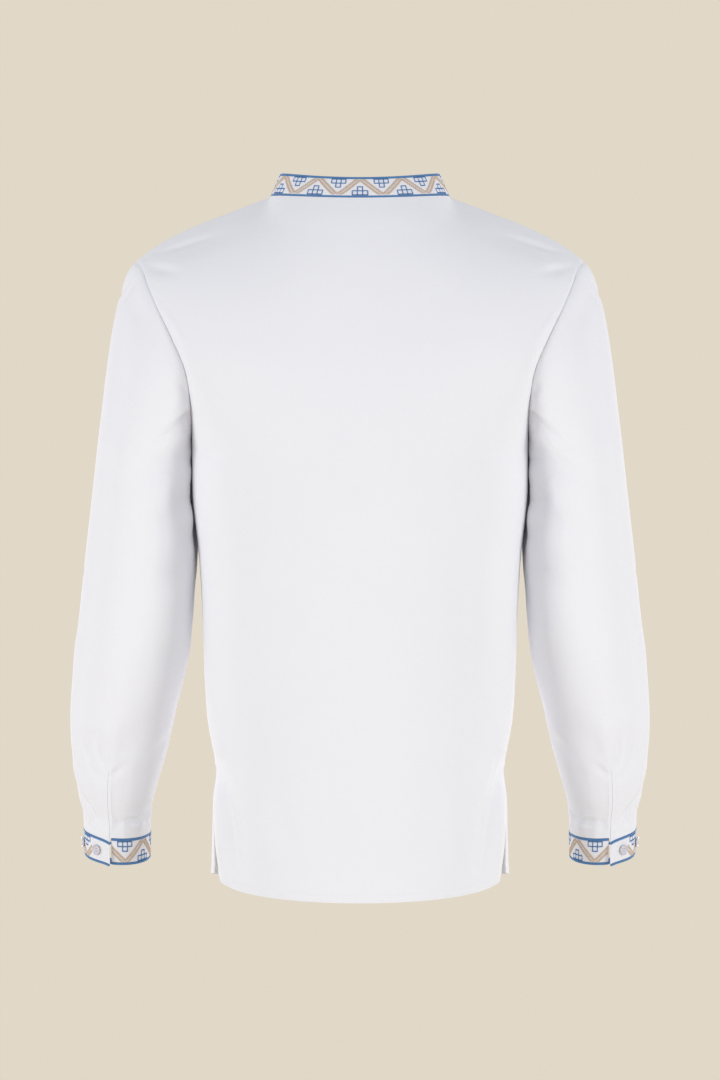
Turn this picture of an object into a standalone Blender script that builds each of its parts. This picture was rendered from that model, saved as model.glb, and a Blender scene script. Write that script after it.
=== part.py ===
"""Band-collar embroidered shirt, filled out as if worn, modelled at its real size.

Metres, +Z up, front towards -Y, wearer's left towards +X. The origin is the middle of the neck opening
at the height of the shoulder-neck points, where the wearer's shoulders hold the shirt up.
"""

import math
from typing import NamedTuple

import bmesh
import bpy
import numpy as np
from mathutils import Matrix, Vector

MM = 0.001

# Driving dimensions, in millimetres
CLOTH = 1.2
BAND_CLOTH = 2.0
SEAM_GAP = 0.3
NECK_HALF_WIDTH = 96.0
NECK_BACK_DEPTH = 62.0
NECK_FRONT_DEPTH = 78.0
NECK_FRONT_DROP = 67.0
NECK_BACK_DROP = 8.0
SHOULDER_HALF_WIDTH = 240.0
SHOULDER_SLOPE = 0.385
SHOULDER_ROUNDING = 14.0
PIPING_RADIUS = 1.2
COLLAR_BAND_HEIGHT = 21.4
CUFF_BAND_HEIGHT = 23.4
PLACKET_WIDTH = 28.0
PLACKET_LEVEL = 8.6
VENT_HALF_WIDTH = 1.6
BUTTON_RADIUS = 5.7
BUTTON_HEIGHT = 2.4

# Grid sizes
NECK_STEPS = 8
SHOULDER_STEPS = 7
ARMHOLE_STEPS = 12
SIDE_STEPS = 8
HEM_STEPS = 5
CUFF_STEPS = 24
NECK_SHARE = 0.42
FRONT_COLUMN = 16.0
ARMHOLE_LEVELS = 8
SLIT_LEVEL = 14
HEM_LEVEL = 17

WHITE = (0.86, 0.86, 0.88, 1.0)
BLUE = (0.10, 0.27, 0.58, 1.0)
BAND_WHITE = (0.84, 0.83, 0.86, 1.0)
PEARL = (0.80, 0.79, 0.80, 1.0)


class BodyRow(NamedTuple):
    """One level of a body panel: its middle, its armhole or side edge, and how far round it turns."""

    centre_y: float
    centre_z: float
    edge_x: float
    edge_y: float
    edge_z: float
    turn: float


class SleeveRow(NamedTuple):
    """One ring of a sleeve: its outer and inner edge, its middle, half depth, tilts and front fullness."""

    middle_z: float
    outer_x: float
    inner_x: float
    middle_y: float
    half_depth: float
    side_tilt: float
    back_tilt: float
    fullness: float


class Fold(NamedTuple):
    """A soft fold between two places on a panel: across and height at each end, width and depth."""

    across_a: float
    height_a: float
    across_b: float
    height_b: float
    width: float
    depth: float


BACK_ROWS = (
    BodyRow(62, -8, 240, 0, -70, 62),
    BodyRow(80, -35, 231, 22, -79, 64),
    BodyRow(97, -68, 223, 42, -98, 66),
    BodyRow(111, -106, 211, 60, -125, 70),
    BodyRow(121, -147, 196, 73, -156, 74),
    BodyRow(128, -188, 182, 76, -190, 78),
    BodyRow(131, -226, 175, 60, -224, 83),
    BodyRow(132, -259, 173, 31, -250, 88),
    BodyRow(132, -285, 176, 0, -264, 90),
    BodyRow(132, -324, 178, 0, -322, 90),
    BodyRow(131, -385, 172, 0, -384, 90),
    BodyRow(130, -448, 168, 0, -448, 90),
    BodyRow(129, -511, 166, 0, -511, 90),
    BodyRow(129, -560, 162.5, 0, -560, 90),
    BodyRow(129, -608, 154.5, 0, -607, 90),
    BodyRow(130, -650, 156, 3, -648, 90),
    BodyRow(131, -695, 154, 4, -690, 90),
    BodyRow(132, -739, 151, 5, -721, 90),
)

FRONT_ROWS = (
    BodyRow(-78, -66, 240, 0, -70, 62),
    BodyRow(-91, -86, 232, -22, -80, 64),
    BodyRow(-103, -110, 222, -42, -100, 66),
    BodyRow(-114, -137, 208, -57, -128, 70),
    BodyRow(-122, -166, 193, -65, -158, 74),
    BodyRow(-128, -198, 181, -65, -192, 78),
    BodyRow(-131, -231, 174.5, -50, -226, 83),
    BodyRow(-133, -261, 173, -26, -251, 88),
    BodyRow(-134, -287, 176, 0, -264, 90),
    BodyRow(-134, -324, 178, 0, -322, 90),
    BodyRow(-133, -385, 172, 0, -384, 90),
    BodyRow(-132, -448, 168, 0, -448, 90),
    BodyRow(-131, -511, 166, 0, -511, 90),
    BodyRow(-131, -560, 162.5, 0, -560, 90),
    BodyRow(-131, -608, 154.5, 0, -607, 90),
    BodyRow(-132, -650, 158.5, -3, -648, 90),
    BodyRow(-133, -695, 158.5, -4, -692, 90),
    BodyRow(-134, -738, 158, -5, -724, 90),
)

SLEEVE_ROWS = (
    SleeveRow(-285, 280, 184, 0, 71, 24, 0, 22),
    SleeveRow(-332, 286.5, 184, -3, 69, 14, 0, 20),
    SleeveRow(-388, 294, 184, -6, 64, 7, -1, 9),
    SleeveRow(-452, 301.5, 181, -10, 58, 3, -2, 2),
    SleeveRow(-485, 306.5, 183, -13, 55, 2, -3, 0),
    SleeveRow(-517, 309.5, 190, -18, 52, 1, -4, 0),
    SleeveRow(-549, 312, 198, -23, 49.5, 0, -5, 0),
    SleeveRow(-581, 312, 205, -28, 47, 0, -6, 0),
    SleeveRow(-613, 310, 214, -33, 45, 0, -7, 0),
    SleeveRow(-643, 305, 223, -38, 43, 1, -7, 0),
    SleeveRow(-661, 300.5, 226, -41, 41.5, 2, -7, 0),
    SleeveRow(-679.6, 299.5, 227, -42, 40.5, 2.7, -6.7, 0),
)
CAP_STEPS = (0.0, 0.05, 0.12, 0.22, 0.36, 0.52, 0.7, 0.86, 1.0)
CUFF_LEAN = 11.0
VENT_ANGLE = 8.0
VENT_TOP_Z = -612.0

BACK_FOLDS = (
    Fold(146, -600, 128, -712, 9, -5.0),
    Fold(-146, -600, -128, -712, 9, -5.0),
    Fold(150, -640, 143, -725, 6, 3.0),
    Fold(-150, -640, -143, -725, 6, 3.0),
    Fold(216, -66, 150, -44, 13, -2.5),
    Fold(-216, -66, -150, -44, 13, -2.5),
    Fold(205, -160, 150, -230, 16, 3.0),
    Fold(-205, -160, -150, -230, 16, 3.0),
)
FRONT_FOLDS = (
    Fold(144, -600, 120, -712, 9, -4.5),
    Fold(-144, -600, -122, -710, 9, -4.0),
    Fold(190, -150, 120, -240, 18, -3.5),
    Fold(-190, -150, -124, -236, 18, -3.5),
)
# Across is the angle round the sleeve in degrees here: 0 back, 90 outer side, 180 front, 270 underarm
SLEEVE_FOLDS = (
    Fold(-62, -268, -8, -300, 13, -4.0),
    Fold(-66, -322, -12, -352, 13, -4.0),
    Fold(-60, -378, -10, -404, 14, -3.0),
    Fold(-50, -560, 10, -596, 18, -2.5),
    Fold(66, -92, 20, -150, 12, -3.0),
    Fold(200, -300, 262, -342, 15, -4.0),
    Fold(190, -380, 250, -420, 16, -3.5),
    Fold(188, -440, 240, -476, 16, -3.0),
    Fold(-60, -652, -10, -662, 10, -3.0),
    Fold(84, -628, 44, -672, 8, -2.5),
    Fold(-14, -600, -10, -676, 8, -2.0),
)


def unit(vector):
    """A vector at length one."""
    return vector / max(np.linalg.norm(vector), 1e-9)


def spline(rows, place):
    """A smooth curve through numbered rows of values."""
    last = len(rows) - 1
    place = min(max(place, 0.0), float(last))
    i = min(int(place), last - 1)
    f = place - i
    here, after = np.array(rows[i]), np.array(rows[i + 1])
    before = np.array(rows[i - 1]) if i > 0 else 2 * here - after
    beyond = np.array(rows[i + 2]) if i + 2 <= last else 2 * after - here
    lead = (after - before) / 2
    trail = (beyond - here) / 2
    square, cube = f * f, f * f * f
    return (
        (2 * cube - 3 * square + 1) * here
        + (cube - 2 * square + f) * lead
        + (3 * square - 2 * cube) * after
        + (cube - square) * trail
    )


def folds_at(folds, across, height, scale=1.0):
    """How far the folds push the cloth out at one place. Scale turns across into millimetres."""
    total = 0.0
    for fold in folds:
        start = np.array([fold.across_a * scale, fold.height_a])
        along = np.array([fold.across_b * scale, fold.height_b]) - start
        reach = np.array([across * scale, height]) - start
        share = float(reach @ along) / float(along @ along)
        nearest = start + min(max(share, 0.0), 1.0) * along
        off = np.linalg.norm(np.array([across * scale, height]) - nearest)
        fade = 0.55 + 0.45 * math.sin(math.pi * min(max(share, 0.0), 1.0))
        total += fold.depth * fade * math.exp(-((off / fold.width) ** 2))
    return total


def shoulder_height(x):
    """Height of the shoulder line at a distance from the middle."""
    past = max(0.0, (x - 150.0) / (SHOULDER_HALF_WIDTH - 150.0))
    return -SHOULDER_SLOPE * (x - NECK_HALF_WIDTH) - SHOULDER_ROUNDING * past**3.2


def neckline(angle):
    """A point of the neck seam: angle 0 at the middle back, 90 at the shoulder, 180 at the middle front."""
    turn = math.radians(angle)
    x = NECK_HALF_WIDTH * math.sin(turn)
    cosine = math.cos(turn)
    if cosine >= 0:
        return np.array([x, NECK_BACK_DEPTH * cosine, -NECK_BACK_DROP * cosine**1.8])
    return np.array([x, NECK_FRONT_DEPTH * cosine, -NECK_FRONT_DROP * (-cosine) ** 1.1])


class Panel:
    """The back or the front of the body, as points over s, -1 to 1 across, and a level from 0 down."""

    def __init__(self, rows, folds, side):
        self.rows = rows
        self.upper = rows[: ARMHOLE_LEVELS + 1]
        self.lower = rows[ARMHOLE_LEVELS:]
        self.folds = folds
        self.side = side

    def row(self, level):
        """The panel's row at a level. Its edge turns a corner at the underarm."""
        smooth = BodyRow(*spline(self.rows, level))
        if level <= ARMHOLE_LEVELS:
            edge = BodyRow(*spline(self.upper, level))
        else:
            edge = BodyRow(*spline(self.lower, level - ARMHOLE_LEVELS))
        return BodyRow(smooth.centre_y, smooth.centre_z, edge.edge_x, edge.edge_y, edge.edge_z, edge.turn)

    def plain(self, share, level):
        """The row's curve, before the top edge is shaped. Share is 0 in the middle and 1 at the edge."""
        row = self.row(level)
        turn = math.radians(row.turn)
        here = share * turn
        corner = 1 + 0.035 * min(level / ARMHOLE_LEVELS, 1.0) * math.sin(2 * here) ** 2
        x = row.edge_x * math.sin(here) / math.sin(turn) * corner
        round_in = (math.cos(here) * corner - math.cos(turn)) / (1 - math.cos(turn))
        y = row.edge_y + (row.centre_y - row.edge_y) * round_in
        z = row.centre_z + (row.edge_z - row.centre_z) * share**2
        return np.array([x, y, z])

    def top(self, share):
        """The neckline, then the shoulder seam."""
        if share <= NECK_SHARE:
            quarter = 90.0 * share / NECK_SHARE
            return neckline(quarter if self.side > 0 else 180.0 - quarter)
        out = (share - NECK_SHARE) / (1 - NECK_SHARE)
        x = NECK_HALF_WIDTH + (SHOULDER_HALF_WIDTH - NECK_HALF_WIDTH) * out
        return np.array([x, 0.0, shoulder_height(x)])

    def smooth(self, s, level):
        """A point of the outer face, without folds."""
        share = min(abs(s), 1.0)
        point = self.plain(share, level)
        if level < 5:
            point = point + (1 - level / 5) ** 2 * (self.top(share) - self.plain(share, 0.0))
        point[0] = math.copysign(point[0], s) if s else 0.0
        return point

    def point(self, s, level):
        """A point of the outer face, with its folds. The edges and the top keep their seams."""
        base = self.smooth(s, level)
        if level > SLIT_LEVEL:
            keep = 1.0
        else:
            keep = min(1.0, (1 - abs(s)) * 8)
        keep *= min(1.0, level * 1.2)
        depth = folds_at(self.folds, base[0], base[2]) * keep
        if depth:
            base = base + depth * self.normal(s, level)
        base[1] += self.side * SEAM_GAP / 2
        return base

    def normal(self, s, level):
        """The outward direction. At the shoulder and side seams it has no part towards front or back."""
        step = 0.02
        right = self.smooth(min(s + step, 1.0), level) - self.smooth(max(s - step, -1.0), level)
        down = self.smooth(s, min(level + step, HEM_LEVEL)) - self.smooth(s, max(level - step, 0.0))
        out = unit(np.cross(right, down) * self.side)
        on_shoulder = level < 1e-6 and abs(s) >= NECK_SHARE - 1e-6
        on_side = abs(s) > 1 - 1e-6 and ARMHOLE_LEVELS <= level <= SLIT_LEVEL
        if on_shoulder or on_side:
            out[1] = 0.0
        return unit(out)


BACK = Panel(BACK_ROWS, BACK_FOLDS, 1)
FRONT = Panel(FRONT_ROWS, FRONT_FOLDS, -1)


def armhole_place(angle):
    """The panel on one side of the armhole, and how far down its edge an angle round the sleeve falls."""
    panel = BACK if -90 <= angle <= 90 else FRONT
    turned = (90 - angle) if panel is BACK else (angle - 90)
    return panel, turned / 180 * ARMHOLE_LEVELS


def armhole(angle):
    """The body's armhole edge as its grid draws it, by the angle round the sleeve."""
    panel, level = armhole_place(angle)
    scale = ARMHOLE_LEVELS / ARMHOLE_STEPS
    i = min(int(level / scale), ARMHOLE_STEPS - 1)
    first, second = panel.point(1.0, i * scale), panel.point(1.0, (i + 1) * scale)
    return first + (second - first) * (level / scale - i)


def flank(y, z):
    """The body's half width at a depth and a height, below the armhole's edge."""
    panel = BACK if y >= 0 else FRONT
    low, high = 0.0, float(HEM_LEVEL)
    for _ in range(12):
        middle = (low + high) / 2
        if panel.row(middle).edge_z > z:
            low = middle
        else:
            high = middle
    row = panel.row(low)
    turn = math.radians(row.turn)
    round_in = min(max((y - row.edge_y) / (row.centre_y - row.edge_y), 0.0), 1.0)
    here = math.acos(min(round_in * (1 - math.cos(turn)) + math.cos(turn), 1.0))
    return row.edge_x * math.sin(here) / math.sin(turn) * (1 + 0.035 * math.sin(2 * here) ** 2)


def past_vent(angle):
    """Degrees past the wrist slit, counted from the button side of it."""
    return (angle - VENT_ANGLE + 1.8) % 360


def cuff_wave(angle):
    """How the wrist edge rises and dips: the button end hangs a little, the outer side rides up."""
    past = past_vent(angle)
    if past > 180:
        return 0.0
    drop = 5.0 * math.exp(-past / 12) + 0.6
    return -drop * math.cos(math.radians(past / 2)) ** 2


def sleeve_ring(angle, place):
    """A point of a full sleeve ring, on the wearer's left."""
    row = SleeveRow(*spline(SLEEVE_ROWS, place))
    turn = math.radians(angle)
    middle = (row.outer_x + row.inner_x) / 2
    half = (row.outer_x - row.inner_x) / 2
    x = middle + half * math.sin(turn)
    y = row.middle_y + row.half_depth * math.cos(turn)
    z = row.middle_z + row.side_tilt * math.sin(turn) + row.back_tilt * math.cos(turn)
    x -= row.fullness * math.exp(-((((angle - 222) % 360 + 180) % 360 - 180) / 30) ** 2)
    last = len(SLEEVE_ROWS) - 1
    z += cuff_wave(angle) * min(max((place - last + 3) / 3, 0.0), 1.0) ** 2
    return np.array([x, y, z])


def sleeve_base(angle, place, start):
    """A point of the sleeve: place -1 to 0 is the cap from its start, and 0 onwards counts full rings."""
    if place >= 0:
        point = sleeve_ring(angle, place)
        share = 1.0
    else:
        share = place + 1
        turn = math.radians(angle)
        out = np.array([math.sin(turn), math.cos(turn), 0.0])
        swell = (5.5 + 5.0 * math.sin(turn)) * math.sin(math.pi * share**0.55)
        point = start + (sleeve_ring(angle, 0) - start) * share + out * swell
    if share > 0 and (angle < 0 or angle > 180) and point[2] > -480:
        body = flank(point[1], point[2]) + 0.4 + 2.0 * min(share / 0.15, 1.0)
        point[0] = max(point[0], body)
    return point


SEAMS = {}


def armhole_seam(angle):
    """Where the sleeve starts beside the body's armhole edge, and the direction its cut edge faces."""
    key = round(angle, 4)
    if key in SEAMS:
        return SEAMS[key]
    edge = armhole(angle)
    ahead, behind = wrap(angle + 2), wrap(angle - 2)
    panel, level = armhole_place(angle)
    body = panel.normal(1.0, level)
    along = unit(armhole(ahead) - armhole(behind))
    away = unit(np.cross(body, along))
    round_it = sleeve_base(ahead, -0.93, armhole(ahead)) - sleeve_base(behind, -0.93, armhole(behind))
    cloth = unit(np.cross(round_it, sleeve_base(angle, -0.9, edge) - edge))
    bend = math.atan2(-float(cloth @ away), float(cloth @ body))
    if bend < -math.pi / 2:
        bend = math.pi
    half = max(bend, 0.0) / 2
    start = edge + SEAM_GAP * (math.cos(half) * away + math.sin(half) * body)
    SEAMS[key] = (start, body if bend < 0 else cloth)
    return SEAMS[key]


def sleeve_smooth(angle, place):
    """A point of the sleeve without folds."""
    if place >= 0:
        return sleeve_base(angle, place, None)
    return sleeve_base(angle, place, armhole_seam(angle)[0])


def sleeve_normal(angle, place):
    """The sleeve's outward direction."""
    if place < -1 + 1e-6:
        return armhole_seam(angle)[1]
    step = 0.02
    last = len(SLEEVE_ROWS) - 1
    round_it = sleeve_smooth(wrap(angle + 2), place) - sleeve_smooth(wrap(angle - 2), place)
    down = sleeve_smooth(angle, min(place + step, last)) - sleeve_smooth(angle, max(place - step, -1.0))
    return unit(np.cross(round_it, down))


def wrap(angle):
    """The same angle within -90 to 270."""
    return (angle + 90) % 360 - 90


def sleeve_point(angle, place, depth=0.0):
    """A point of the sleeve with its folds, at a depth under its outer face."""
    base = sleeve_smooth(angle, place)
    keep = min(1.0, (place + 1) * 6)
    last = len(SLEEVE_ROWS) - 1
    keep *= min(1.0, (last - place) * 1.5)
    centred = angle if angle <= 180 else angle - 360
    total = 0.0
    for turned in (centred, centred + 360):
        total += folds_at(SLEEVE_FOLDS, turned, base[2], 0.9)
    return base + (total * keep - depth) * sleeve_normal(angle, place)


def material(name, colour, roughness):
    """A plain finish."""
    made = bpy.data.materials.new(name)
    made.use_nodes = True
    shader = made.node_tree.nodes["Principled BSDF"]
    shader.inputs["Base Color"].default_value = colour
    shader.inputs["Roughness"].default_value = roughness
    shader.inputs["Metallic"].default_value = 0.0
    return made


def add_object(name, mesh, finish, smooth_angle=40.0):
    """Puts a mesh in the shirt's collection as a named object."""
    obj = bpy.data.objects.new(name, mesh)
    mesh.materials.append(finish)
    mesh.shade_smooth()
    mesh.set_sharp_from_angle(angle=math.radians(smooth_angle))
    bpy.data.collections["shirt"].objects.link(obj)
    return obj


def wall(name, outer, inner, kept, closed, finish):
    """A cloth wall between an outer and an inner grid of points. Kept says which cells have cloth."""
    rows, columns = len(outer), len(outer[0])
    mesh = bpy.data.meshes.new(name)
    work = bmesh.new()
    faces = [
        [[work.verts.new(Vector(p) * MM) for p in row] for row in grid]
        for grid in (outer, inner)
    ]
    cells = set()
    for i in range(rows - 1):
        for j in range(columns if closed else columns - 1):
            if kept(i, j):
                cells.add((i, j))

    def corners(i, j):
        after = (j + 1) % columns
        return (i, j), (i, after), (i + 1, after), (i + 1, j)

    edges = {}
    for i, j in sorted(cells):
        ring = corners(i, j)
        across = []
        for (a, b), (c, d) in (ring[::2], ring[1::2]):
            across.append(np.linalg.norm(outer[a][b] - outer[c][d]))
        split = (0, 1, 2), (0, 2, 3)
        if across[1] < across[0]:
            split = (1, 2, 3), (1, 3, 0)
        for three in split:
            picked = [ring[k] for k in three]
            work.faces.new([faces[0][a][b] for a, b in picked])
            work.faces.new([faces[1][a][b] for a, b in reversed(picked)])
        for k in range(4):
            start, end = ring[k], ring[(k + 1) % 4]
            if (end, start) in edges:
                del edges[(end, start)]
            else:
                edges[(start, end)] = True
    for (a, b), (c, d) in edges:
        work.faces.new([faces[0][a][b], faces[1][a][b], faces[1][c][d], faces[0][c][d]])
    loose = [v for v in work.verts if not v.link_faces]
    bmesh.ops.delete(work, geom=loose, context="VERTS")
    if work.calc_volume(signed=True) < 0:
        bmesh.ops.reverse_faces(work, faces=work.faces)
    work.to_mesh(mesh)
    work.free()
    return add_object(name, mesh, finish)


def body_levels():
    """The levels of a body panel's rows, from the shoulder to the hem."""
    levels = [ARMHOLE_LEVELS * k / ARMHOLE_STEPS for k in range(ARMHOLE_STEPS + 1)]
    for top, foot, steps in ((ARMHOLE_LEVELS, SLIT_LEVEL, SIDE_STEPS), (SLIT_LEVEL, HEM_LEVEL, HEM_STEPS)):
        levels += [top + (foot - top) * k / steps for k in range(1, steps + 1)]
    return levels


def half_spots():
    """Shares across half a panel: the neck's angles, then the shoulder."""
    neck = [NECK_SHARE * k / NECK_STEPS for k in range(NECK_STEPS + 1)]
    rest = 1 - NECK_SHARE
    return neck + [NECK_SHARE + rest * k / SHOULDER_STEPS for k in range(1, SHOULDER_STEPS + 1)]


def back_panel(finish):
    """The back, cut in one piece."""
    half = half_spots()
    spots = [-s for s in reversed(half[1:])] + half
    levels = body_levels()
    outer = [[BACK.point(s, v) for s in spots] for v in levels]
    inner = [
        [p - CLOTH * BACK.normal(s, v) for p, s in zip(row, spots)] for row, v in zip(outer, levels)
    ]
    return wall("back_panel", outer, inner, lambda i, j: True, False, finish)


def share_at(x, level):
    """The share across the front at which it reaches a distance from the middle."""
    low, high = 0.0, 1.0
    for _ in range(24):
        middle = (low + high) / 2
        if FRONT.smooth(middle, level)[0] < abs(x):
            low = middle
        else:
            high = middle
    return math.copysign(low, x)


def front_at(x, level, depth=0.0):
    """A point of the front near its middle, at an exact distance across."""
    s = share_at(x, level)
    point = FRONT.point(s, level) - depth * FRONT.normal(s, level)
    point[0] = x
    return point


def front_panel(finish):
    """The front, in one piece, with a slot for the placket."""
    levels = sorted(body_levels() + [PLACKET_LEVEL])
    edge = PLACKET_WIDTH / 2 + SEAM_GAP / 2
    outer, inner = [], []
    for level in levels:
        half = [share_at(edge, level), NECK_SHARE * FRONT_COLUMN / 90] + half_spots()[2:]
        spots = [-s for s in reversed(half)] + half
        face = [FRONT.point(s, level) for s in spots]
        back = [p - CLOTH * FRONT.normal(s, level) for p, s in zip(face, spots)]
        for grid in (face, back):
            grid[len(half) - 1][0] = -edge
            grid[len(half)][0] = edge
        outer.append(face)
        inner.append(back)
    slot_rows = levels.index(PLACKET_LEVEL)
    slot_column = len(half_spots()) - 1
    return wall(
        "front_panel",
        outer,
        inner,
        lambda i, j: not (j == slot_column and i < slot_rows),
        False,
        finish,
    )


def strip(name, edges, levels, depth, thick, finish):
    """A placket strip: a wall on the front's own points, between two distances across."""
    outer = [[front_at(x, v, depth) for x in edges] for v in levels]
    inner = [[front_at(x, v, depth + thick) for x in edges] for v in levels]
    return wall(name, outer, inner, lambda i, j: True, False, finish)


def placket(finish):
    """The overlap fills the slot, and the underlap lies behind it."""
    half = PLACKET_WIDTH / 2
    rows = 16
    top = 0.04
    over_end = PLACKET_LEVEL - 0.012
    under_end = PLACKET_LEVEL + 0.18
    spread = [-half + SEAM_GAP / 2, -half / 3, half / 3, half - SEAM_GAP / 2]
    levels = [top + (over_end - top) * k / rows for k in range(rows + 1)]
    strip("placket_overlap", spread, levels, -0.5, CLOTH + 0.5, finish)
    behind = [-half - 4, -half / 3, half / 3, half + 4]
    levels = [0.12 + (under_end - 0.12) * k / rows for k in range(rows + 1)]
    strip("placket_underlap", behind, levels, CLOTH + SEAM_GAP + 0.1, CLOTH, finish)


def sleeve_columns():
    """Angles round a sleeve, with a narrow pair at the wrist vent."""
    angles = [90 - 15 * k for k in range(1, 7)]
    narrow = [VENT_ANGLE + 3.0, VENT_ANGLE - 3.0]
    back_half = [90] + angles[:5] + narrow + [0] + [-15 * k for k in range(1, 6)]
    front_half = [270 - 15 * k for k in range(0, 12)]
    return back_half + front_half


def sleeve_places():
    """Places down a sleeve: the cap, then rings to the wrist."""
    cap = [share - 1 for share in CAP_STEPS]
    last = len(SLEEVE_ROWS) - 1
    rings = [k * 0.8 for k in range(1, 14)]
    return cap + [r for r in rings if r < last - 0.3] + [last]


def vent_start(places):
    """The first row of the vent."""
    return next(k for k, p in enumerate(places) if p >= 0 and sleeve_ring(0, p)[2] < VENT_TOP_Z)


def narrow_vent(angle, place):
    """Keeps the vent's slot at its width in millimetres, whatever the sleeve's size there."""
    row = SleeveRow(*spline(SLEEVE_ROWS, max(place, 0.0)))
    spread = math.degrees(VENT_HALF_WIDTH / ((row.outer_x - row.inner_x) / 2))
    if abs(angle - (VENT_ANGLE + 3.0)) < 1e-6:
        return VENT_ANGLE + spread
    if abs(angle - (VENT_ANGLE - 3.0)) < 1e-6:
        return VENT_ANGLE - spread
    return angle


def mirrored(grid, side):
    """The grid for one side of the body."""
    return [[np.array([p[0] * side, p[1], p[2]]) for p in row] for row in grid]


def sleeve(name, side, finish):
    """A sleeve: one piece of cloth closed under the arm, slit at the wrist."""
    angles, places = sleeve_columns(), sleeve_places()
    outer = [[sleeve_point(wrap(narrow_vent(a, p)), p) for a in angles] for p in places]
    inner = [[sleeve_point(wrap(narrow_vent(a, p)), p, CLOTH) for a in angles] for p in places]
    vent_column = angles.index(VENT_ANGLE + 3.0)
    start = vent_start(places)
    return wall(
        name,
        mirrored(outer, side),
        mirrored(inner, side),
        lambda i, j: not (j == vent_column and i >= start),
        True,
        finish,
    )


def vent_binding(name, side, finish):
    """A narrow binding inside the wrist slit, round its top."""
    places = sleeve_places()
    start = vent_start(places)
    rows = [places[start] - 0.12] + places[start:]
    rows[-1] -= 0.25
    middle = (SLEEVE_ROWS[-2].outer_x - SLEEVE_ROWS[-2].inner_x) / 2
    spread = [math.degrees(d / middle) for d in (6.0, 0.8, -0.8, -6.0)]
    depth = CLOTH + SEAM_GAP + 0.1
    outer = [[sleeve_point(VENT_ANGLE + a, p, depth) for a in spread] for p in rows]
    inner = [[sleeve_point(VENT_ANGLE + a, p, depth + 1.0) for a in spread] for p in rows]
    return wall(
        name,
        mirrored(outer, side),
        mirrored(inner, side),
        lambda i, j: not (j == 1 and i >= 1),
        False,
        finish,
    )


CUFF_HALF_X = (SLEEVE_ROWS[-1].outer_x - SLEEVE_ROWS[-1].inner_x) / 2
CUFF_MIDDLE = (
    (SLEEVE_ROWS[-1].outer_x + SLEEVE_ROWS[-1].inner_x) / 2,
    SLEEVE_ROWS[-1].middle_y,
)
CUFF_HALF_Y = SLEEVE_ROWS[-1].half_depth
CUFF_OVER_END = 1.6
CUFF_BUTTON_END = 0.8


def cuff_point(angle, drop, depth=0.0):
    """A point of the left cuff: an angle round the wrist, a distance down, and a depth inwards."""
    turn = math.radians(angle)
    past = past_vent(angle)
    loose = math.exp(-past / 22) if past < 180 else 0.0
    flare = (1.2 + 0.18 * drop) * loose - 0.03 * drop
    lean = math.sin(math.radians(CUFF_LEAN))
    end = SLEEVE_ROWS[-1]
    x = CUFF_MIDDLE[0] + (CUFF_HALF_X + flare - depth) * math.sin(turn)
    y = CUFF_MIDDLE[1] + (CUFF_HALF_Y + flare - depth) * math.cos(turn) - drop * lean
    top = end.middle_z + end.side_tilt * math.sin(turn) + end.back_tilt * math.cos(turn)
    z = top - drop * (1 - 0.13 * loose) + cuff_wave(angle)
    return np.array([x, y, z])


def cuff_angles(steps):
    """Angles round the cuff from the piped end to the button end."""
    first = VENT_ANGLE - math.degrees(CUFF_OVER_END / CUFF_HALF_X)
    last = VENT_ANGLE - math.degrees(CUFF_BUTTON_END / CUFF_HALF_X) - 360
    return [first + (last - first) * k / steps for k in range(steps + 1)]


CUFF_BAND_TOP = SEAM_GAP + 2 * PIPING_RADIUS + SEAM_GAP
CUFF_BAND_BOTTOM = CUFF_BAND_TOP + CUFF_BAND_HEIGHT


def cuff(name, side, finish):
    """The embroidered cuff band."""
    angles = cuff_angles(CUFF_STEPS)
    drops = (CUFF_BAND_TOP, CUFF_BAND_BOTTOM)
    outer = [[cuff_point(a, d) for a in angles] for d in drops]
    inner = [[cuff_point(a, d, BAND_CLOTH) for a in angles] for d in drops]
    return wall(
        name, mirrored(outer, side), mirrored(inner, side), lambda i, j: True, False, finish
    )


def tube(name, points, radius, finish, sides=1):
    """A round cord along points in millimetres."""
    curve = bpy.data.curves.new(name, "CURVE")
    curve.dimensions = "3D"
    curve.bevel_depth = radius * MM
    curve.bevel_resolution = sides
    curve.use_fill_caps = True
    line = curve.splines.new("POLY")
    line.points.add(len(points) - 1)
    for place, point in zip(line.points, points):
        place.co = (*(Vector(point) * MM), 1.0)
    obj = bpy.data.objects.new(name, curve)
    curve.materials.append(finish)
    bpy.data.collections["shirt"].objects.link(obj)
    return obj


def cuff_piping(wearer, side, finish):
    """Blue piping along the cuff's top and its bottom, where it turns up at the overlap's corner."""
    sink = BAND_CLOTH / 2
    top = SEAM_GAP + PIPING_RADIUS
    foot = CUFF_BAND_BOTTOM + SEAM_GAP + PIPING_RADIUS
    angles = cuff_angles(CUFF_STEPS)
    above = [cuff_point(a, top, sink) for a in angles]
    onward = unit(cuff_point(angles[0], foot, sink) - cuff_point(angles[0] - 3, foot, sink))
    beside = onward * (PIPING_RADIUS + SEAM_GAP)
    turned = [cuff_point(angles[0], foot - rise, sink) + beside for rise in (6.0, 3.0, 0.0)]
    below = turned + [cuff_point(a, foot, sink) for a in angles[1:]]
    for name, points in ((f"cuff_top_piping_{wearer}", above), (f"cuff_foot_piping_{wearer}", below)):
        tube(name, [(p[0] * side, p[1], p[2]) for p in points], PIPING_RADIUS, finish)


def collar_lean(angle):
    """How far the collar leans in towards the neck, in degrees."""
    return 24 + 6 * math.cos(math.radians(angle))


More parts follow.
